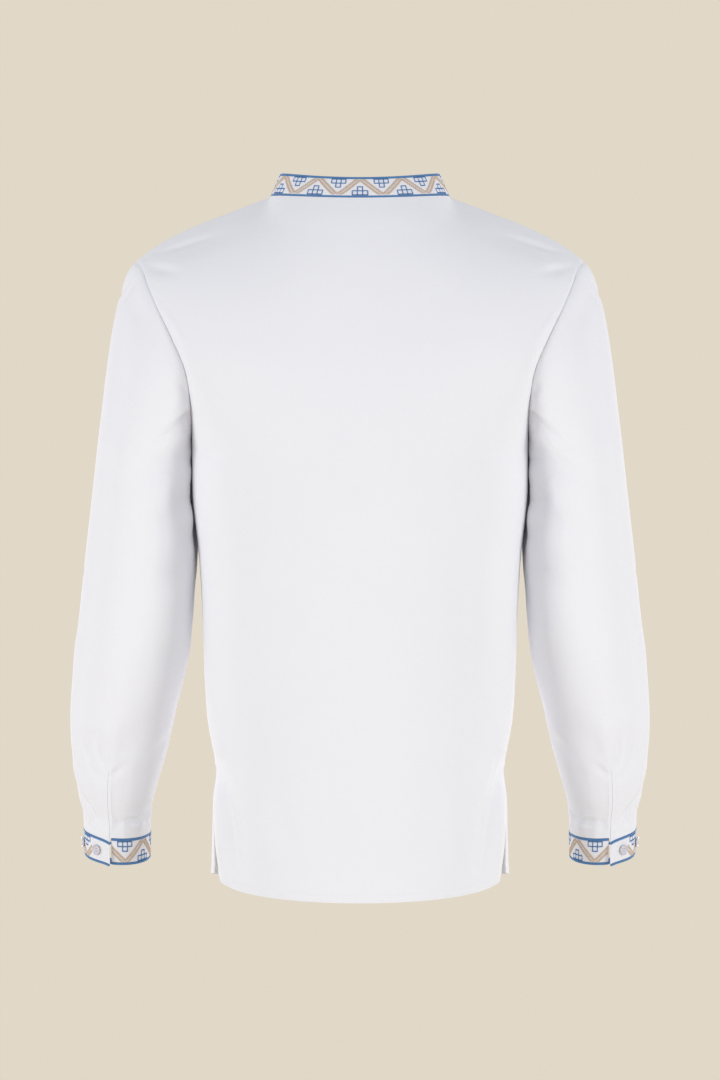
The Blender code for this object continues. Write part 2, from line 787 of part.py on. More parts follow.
def collar_point(angle, rise, depth=0.0):
    """A point of the collar's left half: angle 0 to 180 from the middle back, a rise and a depth."""
    near = neckline(min(angle + 1, 180)) - neckline(max(angle - 1, 0))
    if angle < 1e-6 or angle > 180 - 1e-6:
        near[1:] = 0.0
    along = unit(near)
    out = unit(np.array([-near[1], near[0], 0.0])) * (1 if near[0] or near[1] else 0)
    upright = unit(np.cross(along, out))
    lean = math.radians(collar_lean(angle))
    up = upright * math.cos(lean) - out * math.sin(lean)
    face = out * math.cos(lean) + upright * math.sin(lean)
    return neckline(angle) + up * rise - face * depth


LAP = 8.6
COLLAR_BAND_FOOT = SEAM_GAP + 2 * PIPING_RADIUS + SEAM_GAP
COLLAR_BAND_TOP = COLLAR_BAND_FOOT + COLLAR_BAND_HEIGHT


def lap_depth(signed):
    """How deep the band sits: the wearer's left end lies over the right end at the middle front."""
    over_by = abs(signed) - (180 - FRONT_COLUMN)
    if over_by <= 0:
        return 0.0
    swing = min(over_by / (FRONT_COLUMN - LAP), 1.0)
    swing = swing * swing * (3 - 2 * swing)
    return -0.2 * swing if signed > 0 else (BAND_CLOTH + SEAM_GAP + 0.3) * swing


def collar_signed(signed, rise, depth=0.0):
    """A collar point by its signed angle: past 180 it runs on across the middle front."""
    reach = abs(signed)
    side = math.copysign(1, signed)
    if reach > 180:
        reach = 360 - reach
        side = -side
    point = collar_point(reach, rise, depth + lap_depth(signed))
    point[0] *= side
    return point


def collar_span():
    """Signed angles along the collar, from the right end to the left end, at the panels' own columns."""
    slot = 180 - math.degrees(math.asin((PLACKET_WIDTH / 2 + SEAM_GAP / 2) / NECK_HALF_WIDTH))
    half = [90.0 * k / NECK_STEPS for k in range(1, 2 * NECK_STEPS - 1)]
    half += [180 - FRONT_COLUMN, slot, 175.8, 180.0, 184.2, 180 + LAP]
    half.sort()
    return [-a for a in reversed(half)] + [0.0] + half


def collar(finish):
    """The standing band."""
    span = collar_span()
    rises = (COLLAR_BAND_FOOT, COLLAR_BAND_TOP)
    outer = [[collar_signed(a, r) for a in span] for r in rises]
    inner = [[collar_signed(a, r, BAND_CLOTH) for a in span] for r in rises]
    return wall("collar_band", outer, inner, lambda i, j: True, False, finish)


def collar_piping(finish):
    """Blue piping round the collar's top edge and in its neck seam."""
    span = collar_span()
    sink = BAND_CLOTH / 2
    foot = SEAM_GAP + PIPING_RADIUS
    crown = COLLAR_BAND_TOP + SEAM_GAP + PIPING_RADIUS
    for name, rise in (("collar_seam_piping", foot), ("collar_top_piping", crown)):
        tube(name, [collar_signed(a, rise, sink) for a in span], PIPING_RADIUS, finish)


def button(name, centre, face, finish):
    """A turned button with a rim and a dished face, lying on the cloth."""
    mesh = bpy.data.meshes.new(name)
    obj = add_object(name, mesh, finish)
    profile = (
        (BUTTON_RADIUS * 0.66, BUTTON_HEIGHT * 0.72),
        (BUTTON_RADIUS * 0.8, BUTTON_HEIGHT),
        (BUTTON_RADIUS * 0.97, BUTTON_HEIGHT * 0.85),
        (BUTTON_RADIUS, BUTTON_HEIGHT * 0.45),
        (BUTTON_RADIUS * 0.7, 0.0),
    )
    work = bmesh.new()
    top = work.verts.new((0, 0, profile[0][1] * MM))
    chain = [top] + [work.verts.new((r * MM, 0, z * MM)) for r, z in profile]
    chain.append(work.verts.new((0, 0, 0)))
    for a, b in zip(chain, chain[1:]):
        work.edges.new((a, b))
    work.to_mesh(mesh)
    work.free()
    turn = obj.modifiers.new("Turn", "SCREW")
    turn.axis = "Z"
    turn.steps = 14
    turn.render_steps = 14
    turn.use_merge_vertices = True
    turn.merge_threshold = 0.00001
    obj.rotation_mode = "QUATERNION"
    obj.rotation_quaternion = Vector(face).to_track_quat("Z", "Y")
    obj.location = Vector(centre + unit(face) * SEAM_GAP) * MM
    return obj


def buttons(finish):
    """Cuff buttons beside the plain ends, one collar button and three on the placket."""
    for side, wearer in ((1, "left"), (-1, "right")):
        for number, past in ((1, 23.0), (2, 68.0)):
            angle = VENT_ANGLE + past
            drop = CUFF_BAND_TOP + CUFF_BAND_HEIGHT * 0.5
            centre = cuff_point(angle, drop)
            along = cuff_point(angle + 3, drop) - cuff_point(angle - 3, drop)
            down = cuff_point(angle, drop + 3) - cuff_point(angle, drop - 3)
            face = unit(np.cross(along, down))
            clear = centre + face * 0.25
            mirror = np.array([side, 1, 1])
            button(f"cuff_button_{wearer}_{number}", clear * mirror, face * mirror, finish)
    for number, level in enumerate((1.7, 4.6, 7.3), start=1):
        face = FRONT.normal(0.0, level)
        button(f"placket_button_{number}", front_at(0.0, level, -0.5), face, finish)
    rise = COLLAR_BAND_FOOT + COLLAR_BAND_HEIGHT * 0.5
    centre = collar_signed(180.0, rise)
    lean = math.radians(collar_lean(180))
    face = np.array([0, -math.cos(lean), math.sin(lean)])
    button("collar_button", centre + face * 0.1, face, finish)


def main():
    """Builds the shirt."""
    for obj in list(bpy.data.objects):
        bpy.data.objects.remove(obj)
    bpy.context.scene.collection.children.link(bpy.data.collections.new("shirt"))
    cloth = material("white_cotton", WHITE, 0.85)
    band = material("embroidered_band", BAND_WHITE, 0.8)
    piping = material("blue_piping", BLUE, 0.6)
    pearl = material("pearl_button", PEARL, 0.25)
    back_panel(cloth)
    front_panel(cloth)
    placket(cloth)
    for side, wearer in ((1, "left"), (-1, "right")):
        sleeve(f"sleeve_{wearer}", side, cloth)
        vent_binding(f"vent_binding_{wearer}", side, cloth)
        cuff(f"cuff_{wearer}", side, band)
        cuff_piping(wearer, side, piping)
    collar(band)
    collar_piping(piping)
    buttons(pearl)


main()
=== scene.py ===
"""Dresses the band-collar embroidered shirt: creased cloth, stitched borders, piping and buttons.

Shapes are worked out in millimetres in the frame's own axes, and become metres when a mesh is made.
"""

import math
from typing import NamedTuple

import bpy
import numpy as np
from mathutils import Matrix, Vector


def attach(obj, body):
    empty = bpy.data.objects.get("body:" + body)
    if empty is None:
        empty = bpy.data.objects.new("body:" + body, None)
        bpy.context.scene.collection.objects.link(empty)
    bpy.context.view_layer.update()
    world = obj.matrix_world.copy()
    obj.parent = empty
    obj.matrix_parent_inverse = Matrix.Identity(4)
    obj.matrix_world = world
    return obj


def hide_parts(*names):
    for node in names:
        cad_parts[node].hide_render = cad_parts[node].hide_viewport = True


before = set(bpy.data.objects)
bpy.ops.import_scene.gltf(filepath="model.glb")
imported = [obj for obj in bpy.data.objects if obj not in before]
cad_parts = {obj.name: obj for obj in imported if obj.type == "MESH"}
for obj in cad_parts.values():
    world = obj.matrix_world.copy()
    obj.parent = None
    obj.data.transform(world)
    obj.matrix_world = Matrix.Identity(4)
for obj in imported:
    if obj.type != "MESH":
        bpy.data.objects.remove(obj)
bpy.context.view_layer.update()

bl_info = {
    "name": "Embroidered Shirt",
    "version": (1, 0, 0),
    "blender": (4, 5, 0),
    "location": "3D View > Sidebar > Shirt",
    "description": "Makes the cloth, embroidery, piping and buttons of a band-collar shirt",
    "category": "Object",
}

MM = 0.001

# The shirt's own sizes, in millimetres
CLOTH = 1.2
BAND_CLOTH = 2.0
SEAM_GAP = 0.3
SEAM_TOUCH = 0.02
NECK_HALF_WIDTH = 96.0
NECK_BACK_DEPTH = 62.0
NECK_FRONT_DEPTH = 78.0
NECK_FRONT_DROP = 67.0
NECK_BACK_DROP = 8.0
SHOULDER_HALF_WIDTH = 240.0
SHOULDER_SLOPE = 0.385
SHOULDER_ROUNDING = 14.0
PIPING_RADIUS = 1.2
COLLAR_BAND_HEIGHT = 21.4
CUFF_BAND_HEIGHT = 23.4
PLACKET_WIDTH = 28.0
PLACKET_LEVEL = 8.6
VENT_HALF_WIDTH = 0.12
VENT_ANGLE = 8.0
VENT_TOP_Z = -612.0
CUFF_LEAN = 11.0
CUFF_OVER_END = 1.6
CUFF_BUTTON_END = 0.8
BUTTON_RADIUS = 5.7
BUTTON_HEIGHT = 2.4
NECK_SHARE = 0.42
FRONT_COLUMN = 16.0
LAP = 8.6
ARMHOLE_LEVELS = 8
SLIT_LEVEL = 14
HEM_LEVEL = 17
SLEEVE_LAST = 11
CORD_RADIUS = PIPING_RADIUS + 0.2
BAND_FOOT = SEAM_GAP + 2 * PIPING_RADIUS + SEAM_GAP
HEM_TURN = 8.5
SEAM_DIP = 0.12
SEAM_PUFF = 0.3
SIDE_FULLNESS = 0.035
SLEEVE_CLEARANCE = 0.3
SLEEVE_FREE_Z = -480.0
SLEEVE_FULL_ANGLE = 222
SLEEVE_FULL_SPREAD = 30
BINDING_CLOTH = 1.0
BINDING_SINK = CLOTH + 0.15
BINDING_STEPS = (6.0, 4.0, 2.4, 1.3, 0.8, -0.8, -1.3, -2.4, -4.0, -6.0)
# Degrees by which the collar band leans in to the neck, and how much more at the back than at the side
COLLAR_LEAN = 24
COLLAR_LEAN_SWING = 6
CORNER_LEVEL = 16.0
CORNER_SHARE = 0.72
CORNER_PULL = 3.5
CORNER_RISE = 2.0
STRIP_LINE = 2.2
STRIP_STITCH_X = 11.6
SLIT_STITCH_ANGLE = 5.6
SMALL_THREAD = (0.42, 0.24)
BUTTON_HOLE_RADIUS = 0.62
BUTTON_HOLE_OFFSET = 1.05
PLACKET_BUTTON_LEVELS = (1.7, 4.6, 7.3)
# Degrees from the wrist slit to each cuff button
CUFF_BUTTON_TURNS = (23.0, 68.0)
# Share of the radius and share of the height round a button's section, from the middle of its face
BUTTON_SECTION = (
    (0.0, 0.66),
    (0.3, 0.66),
    (0.58, 0.68),
    (0.66, 0.74),
    (0.73, 0.9),
    (0.8, 0.985),
    (0.87, 1.0),
    (0.94, 0.94),
    (0.985, 0.8),
    (1.0, 0.6),
    (0.985, 0.42),
    (0.93, 0.25),
    (0.8, 0.08),
    (0.66, 0.0),
    (0.0, 0.0),
)
# Levels of a panel close to the shoulder seam and to the hem's turn, and shares across it close to its edge
SEAM_LEVELS = (0.012, 0.03, 0.055, 0.2)
TURN_LEVELS = (16.76, 16.79, 16.815, 16.84, 16.98)
EDGE_SHARES = (0.984, 0.991, 0.9945, 0.9978)
# Name, x and y in metres, and power in watts
LAMPS = (
    ("back_left_lamp", 2.8, 2.0, 38),
    ("back_right_lamp", -2.8, 2.0, 38),
    ("front_left_lamp", 1.7, -2.95, 26),
    ("front_right_lamp", -1.7, -2.95, 26),
)
LAMP_HEIGHT = -0.45
LAMP_SIZE = (1.0, 1.8)
LAMP_TARGET = (0.0, 0.0, -0.38)
FLOOR_RADIUS = 2350.0
FLOOR_TOP = -1450.0
FLOOR_FOOT = -1470.0

# Middle y and z, edge x, y and z, and degrees turned, for each level of the back and of the front
BACK_ROWS = (
    (62, -8, 240, 0, -70, 62),
    (80, -35, 231, 22, -79, 64),
    (97, -68, 223, 42, -98, 66),
    (111, -106, 211, 60, -125, 70),
    (121, -147, 196, 73, -156, 74),
    (128, -188, 182, 76, -190, 78),
    (131, -226, 177.5, 60, -224, 83),
    (132, -259, 178, 31, -250, 88),
    (132, -285, 180.5, 0, -264, 90),
    (132, -324, 179, 0, -322, 90),
    (131, -385, 172, 0, -384, 90),
    (130, -448, 168, 0, -448, 90),
    (129, -511, 166, 0, -511, 90),
    (129, -560, 162.5, 0, -560, 90),
    (129, -608, 154.5, 0, -607, 90),
    (130, -650, 156, 3, -648, 90),
    (131, -695, 154, 4, -690, 90),
    (132, -739, 151, 5, -721, 90),
)
FRONT_ROWS = (
    (-78, -66, 240, 0, -70, 62),
    (-91, -86, 232, -22, -80, 64),
    (-103, -110, 222, -42, -100, 66),
    (-114, -137, 208, -57, -128, 70),
    (-122, -166, 193, -65, -158, 74),
    (-128, -198, 181, -65, -192, 78),
    (-131, -231, 177, -50, -226, 83),
    (-133, -261, 178, -26, -251, 88),
    (-134, -287, 180.5, 0, -264, 90),
    (-134, -324, 179, 0, -322, 90),
    (-133, -385, 172, 0, -384, 90),
    (-132, -448, 168, 0, -448, 90),
    (-131, -511, 166, 0, -511, 90),
    (-131, -560, 162.5, 0, -560, 90),
    (-131, -608, 154.5, 0, -607, 90),
    (-132, -650, 156.5, -3, -648, 98),
    (-133, -695, 155, -4, -692, 104),
    (-134, -738, 154.5, -5, -724, 106),
)
# Middle z, outer and inner x, middle y, half depth, side and back tilt, and fullness at the front
SLEEVE_ROWS = (
    (-285, 280, 182.5, 0, 71, 24, 0, 22),
    (-332, 286.5, 179.5, -3, 69, 14, 0, 20),
    (-388, 294, 176, -6, 64, 7, -1, 9),
    (-452, 301.5, 180, -10, 58, 3, -2, 2),
    (-485, 306.5, 183, -13, 55, 2, -3, 0),
    (-517, 309.5, 190, -18, 52, 1, -4, 0),
    (-549, 312, 198, -23, 49.5, 0, -5, 0),
    (-581, 312, 205, -28, 47, 0, -6, 0),
    (-613, 310, 214, -33, 45, 0, -7, 0),
    (-643, 305, 223, -38, 43, 1, -7, 0),
    (-661, 300.5, 226, -41, 41.5, 2, -7, 0),
    (-679.6, 299.5, 227, -42, 40.5, 2.7, -6.7, 0),
)


class Crease(NamedTuple):
    """A soft trough (negative depth) or ridge along a line, sharper on its right side if crisp is small."""

    points: tuple
    width: float
    depth: float
    crisp: float = 1.0
    ends: float = 0.3


# Both sides of the back, by distance from the middle and height
BACK_CREASES = (
    Crease(((146, -600), (128, -712)), 9, -5.0, 1.0, 0.55),
    Crease(((150, -640), (143, -725)), 6, 3.0, 1.0, 0.55),
    Crease(((216, -66), (150, -44)), 13, -2.5, 1.0, 0.55),
    Crease(((205, -160), (150, -230)), 16, 3.0, 1.0, 0.55),
    Crease(((152, -598), (147, -622), (140, -645), (134, -680), (126, -712)), 3.6, -3.8, 0.4, 0.3),
    Crease(((152, -628), (148, -660), (143, -700), (136, -722)), 5.0, 1.6, 0.8, 0.3),
    Crease(((221, -61.5), (200, -55), (176, -48), (154, -43)), 3.4, -1.9, 0.5, 0.2),
    Crease(((231, -76), (214, -79), (197, -82)), 8.0, -3.6, 0.45, 0.4),
    Crease(((213, -118), (201, -133), (190, -147), (180, -164)), 4.5, 1.7, 0.7, 0.3),
    Crease(((205, -121), (194, -136), (184, -152), (176, -168)), 2.6, -1.0, 0.6, 0.2),
    Crease(((176, -196), (163, -240), (160, -290)), 14, 0.6, 1.0, 0.2),
    Crease(((168, -330), (150, -420), (152, -500)), 15, -1.6, 1.0, 0.2),
    Crease(((150, -520), (143, -580), (136, -640)), 12, 1.4, 1.0, 0.2),
)
# The back's one-sided shallow waves
BACK_WAVES = (
    Crease(((62, -367), (84, -430), (101, -492)), 27, -2.2, 1.0, 0.2),
    Crease(((-93, -336), (-108, -430), (-116, -520)), 20, -1.9, 1.0, 0.2),
    Crease(((-26, -108), (-24, -200)), 10, 1.1, 1.0, 0.2),
    Crease(((-80, -92), (-86, -165)), 24, -1.5, 1.0, 0.2),
    Crease(((34, -128), (42, -240)), 22, -1.2, 1.0, 0.2),
    Crease(((-40, -420), (-58, -560)), 24, 1.3, 1.0, 0.2),
    Crease(((12, -500), (24, -640)), 20, -1.2, 1.0, 0.2),
    Crease(((96, -600), (70, -700)), 16, -1.6, 0.8, 0.2),
    Crease(((-84, -610), (-62, -705)), 18, -1.4, 0.8, 0.2),
    Crease(((-10, -660), (-14, -735)), 13, 1.0, 1.0, 0.4),
)
FRONT_CREASES = (
    Crease(((144, -600), (120, -712)), 9, -4.5, 1.0, 0.55),
    Crease(((190, -150), (120, -240)), 18, -3.5, 1.0, 0.55),
    Crease(((218, -68), (190, -62), (160, -60)), 5.0, -2.0, 0.5, 0.2),
    Crease(((206, -132), (186, -160), (166, -196)), 8.0, -2.6, 0.55, 0.2),
    Crease(((170, -232), (142, -262), (112, -276)), 9.0, -2.4, 0.6, 0.2),
    Crease(((166, -300), (140, -330), (118, -342)), 10, -1.8, 0.6, 0.2),
    Crease(((150, -520), (140, -600), (134, -690)), 11, 1.6, 1.0, 0.2),
)
FRONT_WAVES = (
    Crease(((70, -300), (84, -420), (76, -540)), 22, -2.0, 1.0, 0.2),
    Crease(((-66, -330), (-84, -450), (-92, -590)), 24, -2.1, 1.0, 0.2),
    Crease(((22, -300), (30, -420)), 13, 1.5, 1.0, 0.2),
    Crease(((-18, -320), (-26, -470)), 12, -1.6, 0.8, 0.2),
    Crease(((40, -560), (52, -700)), 18, 1.6, 1.0, 0.2),
    Crease(((-34, -540), (-40, -710)), 20, -1.8, 0.8, 0.2),
    Crease(((92, -96), (74, -170)), 15, -1.6, 0.8, 0.2),
    Crease(((-96, -100), (-70, -178)), 14, -1.8, 0.8, 0.2),
)
# Degrees round the sleeve (0 back, 90 outer side, 180 front, 270 underarm) and height
SLEEVE_CREASES = (
    Crease(((-62, -268), (-8, -300)), 13, -4.0, 1.0, 0.55),
    Crease(((-66, -322), (-12, -352)), 13, -4.0, 1.0, 0.55),
    Crease(((-60, -378), (-10, -404)), 14, -3.0, 1.0, 0.55),
    Crease(((-50, -560), (10, -596)), 18, -2.5, 1.0, 0.55),
    Crease(((66, -92), (20, -150)), 12, -3.0, 1.0, 0.55),
    Crease(((200, -300), (262, -342)), 15, -4.0, 1.0, 0.55),
    Crease(((190, -380), (250, -420)), 16, -3.5, 1.0, 0.55),
    Crease(((188, -440), (240, -476)), 16, -3.0, 1.0, 0.55),
    Crease(((-60, -652), (-10, -662)), 10, -1.6, 1.0, 0.55),
    Crease(((84, -628), (44, -672)), 8, -2.5, 1.0, 0.55),
    Crease(((-14, -600), (-10, -676)), 8, -0.6, 1.0, 0.55),
    Crease(((68, -80), (78, -92), (90, -108)), 4.5, -4.0, 0.4, 0.4),
    Crease(((60, -90), (72, -105), (82, -122)), 5.5, -3.0, 0.5, 0.3),
    Crease(((-18, -203), (-34, -212), (-50, -221)), 5.5, -2.4, 0.5, 0.2),
    Crease(((-12, -266), (-31, -244), (-53, -231), (-78, -219)), 8.0, -4.5, 0.4, 0.3),
    Crease(((-40, -246), (-54, -253)), 5.0, -2.2, 0.7, 0.3),
    Crease(((-42, -246), (-46, -300), (-48, -350), (-46, -400)), 12, -3.6, 1.0, 0.3),
    Crease(((-70, -258), (-70, -295), (-70, -340), (-72, -400)), 7.5, 6.0, 1.0, 0.1),
    Crease(((-50, -280), (-86, -284)), 8.0, -1.6, 0.8, 0.4),
    Crease(((-40, -318), (-74, -326)), 9.0, -2.6, 0.7, 0.3),
    Crease(((-48, -356), (-84, -364)), 12.0, -2.4, 0.8, 0.4),
    Crease(((-19, -416), (-46, -397), (-72, -386)), 10.0, -2.8, 0.6, 0.2),
    Crease(((24, -400), (15, -470), (4, -556)), 15.0, 1.8, 0.8, 0.2),
    Crease(((-34, -470), (-60, -520)), 16.0, -2.0, 0.8, 0.2),
    Crease(((-36, -598), (-60, -588), (-84, -574)), 9.0, -3.2, 0.7, 0.2),
    Crease(((-24, -610), (-48, -622)), 9.0, -1.6, 0.8, 0.2),
    Crease(((8, -620), (-3, -613), (-14, -606)), 4.0, -2.6, 0.6, 0.2),
    Crease(((4, -556), (3, -585), (6, -608)), 9.0, 3.0, 0.8, 0.2),
    Crease(((24, -570), (20, -598), (9, -616)), 6.0, -2.2, 0.7, 0.2),
    Crease(((34, -572), (37, -590), (28, -614), (13, -625)), 6.0, -2.4, 0.7, 0.2),
    Crease(((56, -640), (42, -652), (32, -663), (42, -677)), 3.6, -3.2, 0.5, 0.4),
    Crease(((58, -652), (50, -664), (54, -677)), 4.5, 2.4, 0.8, 0.4),
    Crease(((-8, -668), (-40, -667), (-66, -662), (-90, -650)), 5.0, -3.6, 0.5, 0.3),
    Crease(((-30, -674), (-60, -673)), 4.0, 1.6, 0.8, 0.3),
    Crease(((-80, -670), (-94, -672)), 4.0, -3.0, 0.8, 0.5),
    Crease(((96, -400), (74, -402)), 2.4, -0.8, 0.5, 0.3),
    Crease(((3.6, -612), (3.0, -640), (4.0, -674)), 2.4, 1.1, 0.9, 0.6),
    Crease(((11.4, -612), (12.4, -640), (11.2, -674)), 3.0, -1.0, 0.9, 0.6),
    Crease(((150, -560), (110, -592), (80, -600)), 11.0, -2.4, 0.7, 0.2),
    Crease(((200, -520), (236, -560)), 13.0, -2.8, 0.7, 0.2),
    Crease(((170, -610), (214, -636)), 10.0, -2.6, 0.7, 0.2),
    Crease(((128, -648), (168, -662), (206, -656)), 6.0, -3.0, 0.5, 0.3),
    Crease(((110, -150), (140, -200)), 12.0, -2.0, 0.8, 0.2),
    Crease(((196, -226), (240, -258)), 10.0, -3.6, 0.6, 0.3),
)


def unit(vectors):
    """Vectors at length one."""
    return vectors / np.maximum(np.linalg.norm(vectors, axis=-1, keepdims=True), 1e-9)


def rows_at(rows, places):
    """Smooth values of a table's rows at places between them."""
    table = np.array(rows, float)
    last = len(table) - 1
    places = np.clip(places, 0.0, last)
    i = np.minimum(places.astype(int), last - 1)
    f = (places - i)[..., None]
    here, after = table[i], table[i + 1]
    before = np.where((i > 0)[..., None], table[i - 1], 2 * here - after)
    beyond = np.where((i + 2 <= last)[..., None], table[np.minimum(i + 2, last)], 2 * after - here)
    lead, trail = (after - before) / 2, (beyond - here) / 2
    square, cube = f * f, f * f * f
    return (
        (2 * cube - 3 * square + 1) * here
        + (cube - 2 * square + f) * lead
        + (3 * square - 2 * cube) * after
        + (cube - square) * trail
    )


def creases_at(creases, across, height, scale=1.0):
    """How far creases push the cloth out. Scale turns across into millimetres."""
    total = np.zeros(across.shape)
    for crease in creases:
        line = np.array(crease.points, float) * (scale, 1.0)
        steps = np.linalg.norm(np.diff(line, axis=0), axis=1)
        run = np.concatenate([[0.0], np.cumsum(steps)])
        nearest = np.full(across.shape, 1e9)
        share = np.zeros(across.shape)
        side = np.ones(across.shape)
        for k, length in enumerate(steps):
            (x, z), (dx, dz) = line[k], line[k + 1] - line[k]
            right, up = across * scale - x, height - z
            t = np.clip((right * dx + up * dz) / length**2, 0.0, 1.0)
            off = np.hypot(right - t * dx, up - t * dz)
            closer = off < nearest
            nearest = np.where(closer, off, nearest)
            share = np.where(closer, (run[k] + t * length) / run[-1], share)
            side = np.where(closer, dx * up - dz * right, side)
        width = np.where(side < 0, crease.width * crease.crisp, crease.width)
        fade = crease.ends + (1 - crease.ends) * np.sin(np.pi * share)
        total += crease.depth * fade * np.exp(-((nearest / width) ** 2))
    return total


def shoulder_height(x):
    """Height of the shoulder line at a distance from the middle."""
    past = np.maximum(0.0, (x - 150.0) / (SHOULDER_HALF_WIDTH - 150.0))
    return -SHOULDER_SLOPE * (x - NECK_HALF_WIDTH) - SHOULDER_ROUNDING * past**3.2


def neckline(angle):
    """The neck seam: angle 0 at the middle back, 90 at the shoulder, 180 at the middle front."""
    turn = np.radians(angle)
    back = np.maximum(np.cos(turn), 0.0)
    front = np.maximum(-np.cos(turn), 0.0)
    y = NECK_BACK_DEPTH * back - NECK_FRONT_DEPTH * front
    z = -NECK_BACK_DROP * back**1.8 - NECK_FRONT_DROP * front**1.1
    return np.stack([NECK_HALF_WIDTH * np.sin(turn), y, z], -1)


class Panel:
    """The back or the front, by s, -1 to 1 across, and a level from 0 at the shoulder to the hem."""

    def __init__(self, rows, creases, waves, side):
        self.rows = rows
        self.creases = creases
        self.waves = waves
        self.side = side

    def row(self, level):
        """The row at a level. Its edge turns a corner at the underarm."""
        smooth = rows_at(self.rows, level)
        upper = rows_at(self.rows[: ARMHOLE_LEVELS + 1], level)
        lower = rows_at(self.rows[ARMHOLE_LEVELS:], level - ARMHOLE_LEVELS)
        edge = np.where((level <= ARMHOLE_LEVELS)[..., None], upper, lower)
        return np.concatenate([smooth[..., :2], edge[..., 2:]], -1)

    def plain(self, share, level):
        """The row's curve before its top edge is shaped."""
        row = self.row(level)
        turn = np.radians(row[..., 5])
        here = share * turn
        corner = 1 + SIDE_FULLNESS * np.minimum(level / ARMHOLE_LEVELS, 1.0) * np.sin(2 * here) ** 2
        x = row[..., 2] * np.sin(here) / np.sin(turn) * corner
        round_in = (np.cos(here) * corner - np.cos(turn)) / (1 - np.cos(turn))
        y = row[..., 3] + (row[..., 0] - row[..., 3]) * round_in
        z = row[..., 1] + (row[..., 4] - row[..., 1]) * share**2
        return np.stack([x, y, z], -1)

    def top(self, share):
        """The neckline, then the shoulder seam."""
        quarter = 90.0 * np.minimum(share / NECK_SHARE, 1.0)
        neck = neckline(quarter if self.side > 0 else 180.0 - quarter)
        out = np.clip((share - NECK_SHARE) / (1 - NECK_SHARE), 0.0, 1.0)
        x = NECK_HALF_WIDTH + (SHOULDER_HALF_WIDTH - NECK_HALF_WIDTH) * out
        shoulder = np.stack([x, np.zeros_like(x), shoulder_height(x)], -1)
        return np.where((share <= NECK_SHARE)[..., None], neck, shoulder)

    def lift(self, share, level):
        """What the neckline and the shoulder seam add to the plain curve, spread wider further down."""
        total = np.zeros(share.shape + (3,))
        reach = 0.16 * np.minimum(level / 1.5, 1.0) * np.minimum((1 - share) / 0.2, 1.0)
        for step, weight in ((-1.0, 0.12), (-0.5, 0.23), (0.0, 0.3), (0.5, 0.23), (1.0, 0.12)):
            near = share + step * reach
            there = np.minimum(np.abs(near), 1.0)
            part = self.top(there) - self.plain(there, np.zeros_like(level))
            part[..., 0] *= np.where(near < 0, -1.0, 1.0)
            total += weight * part
        return total

    def smooth(self, s, level):
        """The outer face without creases."""
        share = np.minimum(np.abs(s), 1.0)
        pull = (np.maximum(1 - level / 5, 0.0) ** 2)[..., None]
        point = self.plain(share, level) + pull * self.lift(share, level)
        point[..., 0] *= np.sign(s)
        return point

    def normal(self, s, level):
        """The outward direction. At the shoulder and side seams it has no part towards front or back."""
        step = 0.02
        right, left = np.minimum(s + step, 1.0), np.maximum(s - step, -1.0)
        below, above = np.minimum(level + step, HEM_LEVEL), np.maximum(level - step, 0.0)
        across = self.smooth(right, level) - self.smooth(left, level)
        down = self.smooth(s, below) - self.smooth(s, above)
        out = unit(np.cross(across, down) * self.side)
        on_shoulder = (level < 1e-6) & (np.abs(s) >= NECK_SHARE - 1e-6)
        on_side = (np.abs(s) > 1 - 1e-6) & (level >= ARMHOLE_LEVELS) & (level <= SLIT_LEVEL)
        out[..., 1] = np.where(on_shoulder | on_side, 0.0, out[..., 1])
        return unit(out)

    def seam(self, s, level):
        """The dip at a sewn edge and the slight puff beside it."""
        row = self.row(level)
        beside = (1 - np.abs(s)) * np.abs(row[..., 2]) * np.radians(row[..., 5])
        beside = np.where(level <= SLIT_LEVEL, beside, 99.0)
        below = np.where(np.abs(s) >= NECK_SHARE - 0.02, level * 31.0, 99.0)
        ripple = 1 + 0.35 * np.sin(level * 19.0 + s * 90.0)
        depth = np.zeros_like(beside)
        for away in (beside, below):
            dip = np.exp(-((away / 0.9) ** 2))
            puff = ripple * np.exp(-(((away - 4.0) / 2.4) ** 2))
            depth += SEAM_PUFF * puff - SEAM_DIP * dip
        return depth

    def hem(self, s, level, base):
        """The turned hem stands out by its second layer, and a little more between its stitches."""
        row = self.row(np.full_like(level, HEM_LEVEL))
        foot = row[..., 1] + (row[..., 4] - row[..., 1]) * s**2
        above = base[..., 2] - foot
        turned = 1 / (1 + np.exp(np.clip((above - HEM_TURN) / 0.5, -40, 40)))
        line = np.exp(-(((above - HEM_TURN + 0.6) / 0.9) ** 2))
        wave = 0.25 * np.sin(base[..., 0] / 3.7 + 1.2 * np.sin(base[..., 0] / 23.0))
        return 0.45 * turned - 0.35 * line + wave * turned * np.clip(above / HEM_TURN, 0.0, 1.0)

    def point(self, s, level):
        """The outer face with its creases, seams and hem."""
        base = self.smooth(s, level)
        inside = np.minimum(1.0, (1 - np.abs(s)) * 8)
        keep = np.where(level > SLIT_LEVEL, 1.0, inside) * np.minimum(1.0, level * 1.2)
        depth = creases_at(self.creases, np.abs(base[..., 0]), base[..., 2])
        depth += creases_at(self.waves, base[..., 0], base[..., 2])
        depth = depth * keep + self.seam(s, level) + self.hem(s, level, base)
        point = base + depth[..., None] * self.normal(s, level)
        point[..., 1] += self.side * SEAM_TOUCH
        return point


BACK = Panel(BACK_ROWS, BACK_CREASES, BACK_WAVES, 1)
FRONT = Panel(FRONT_ROWS, FRONT_CREASES, FRONT_WAVES, -1)


def wrap(angle):
    """The same angle within -90 to 270."""
    return (angle + 90) % 360 - 90


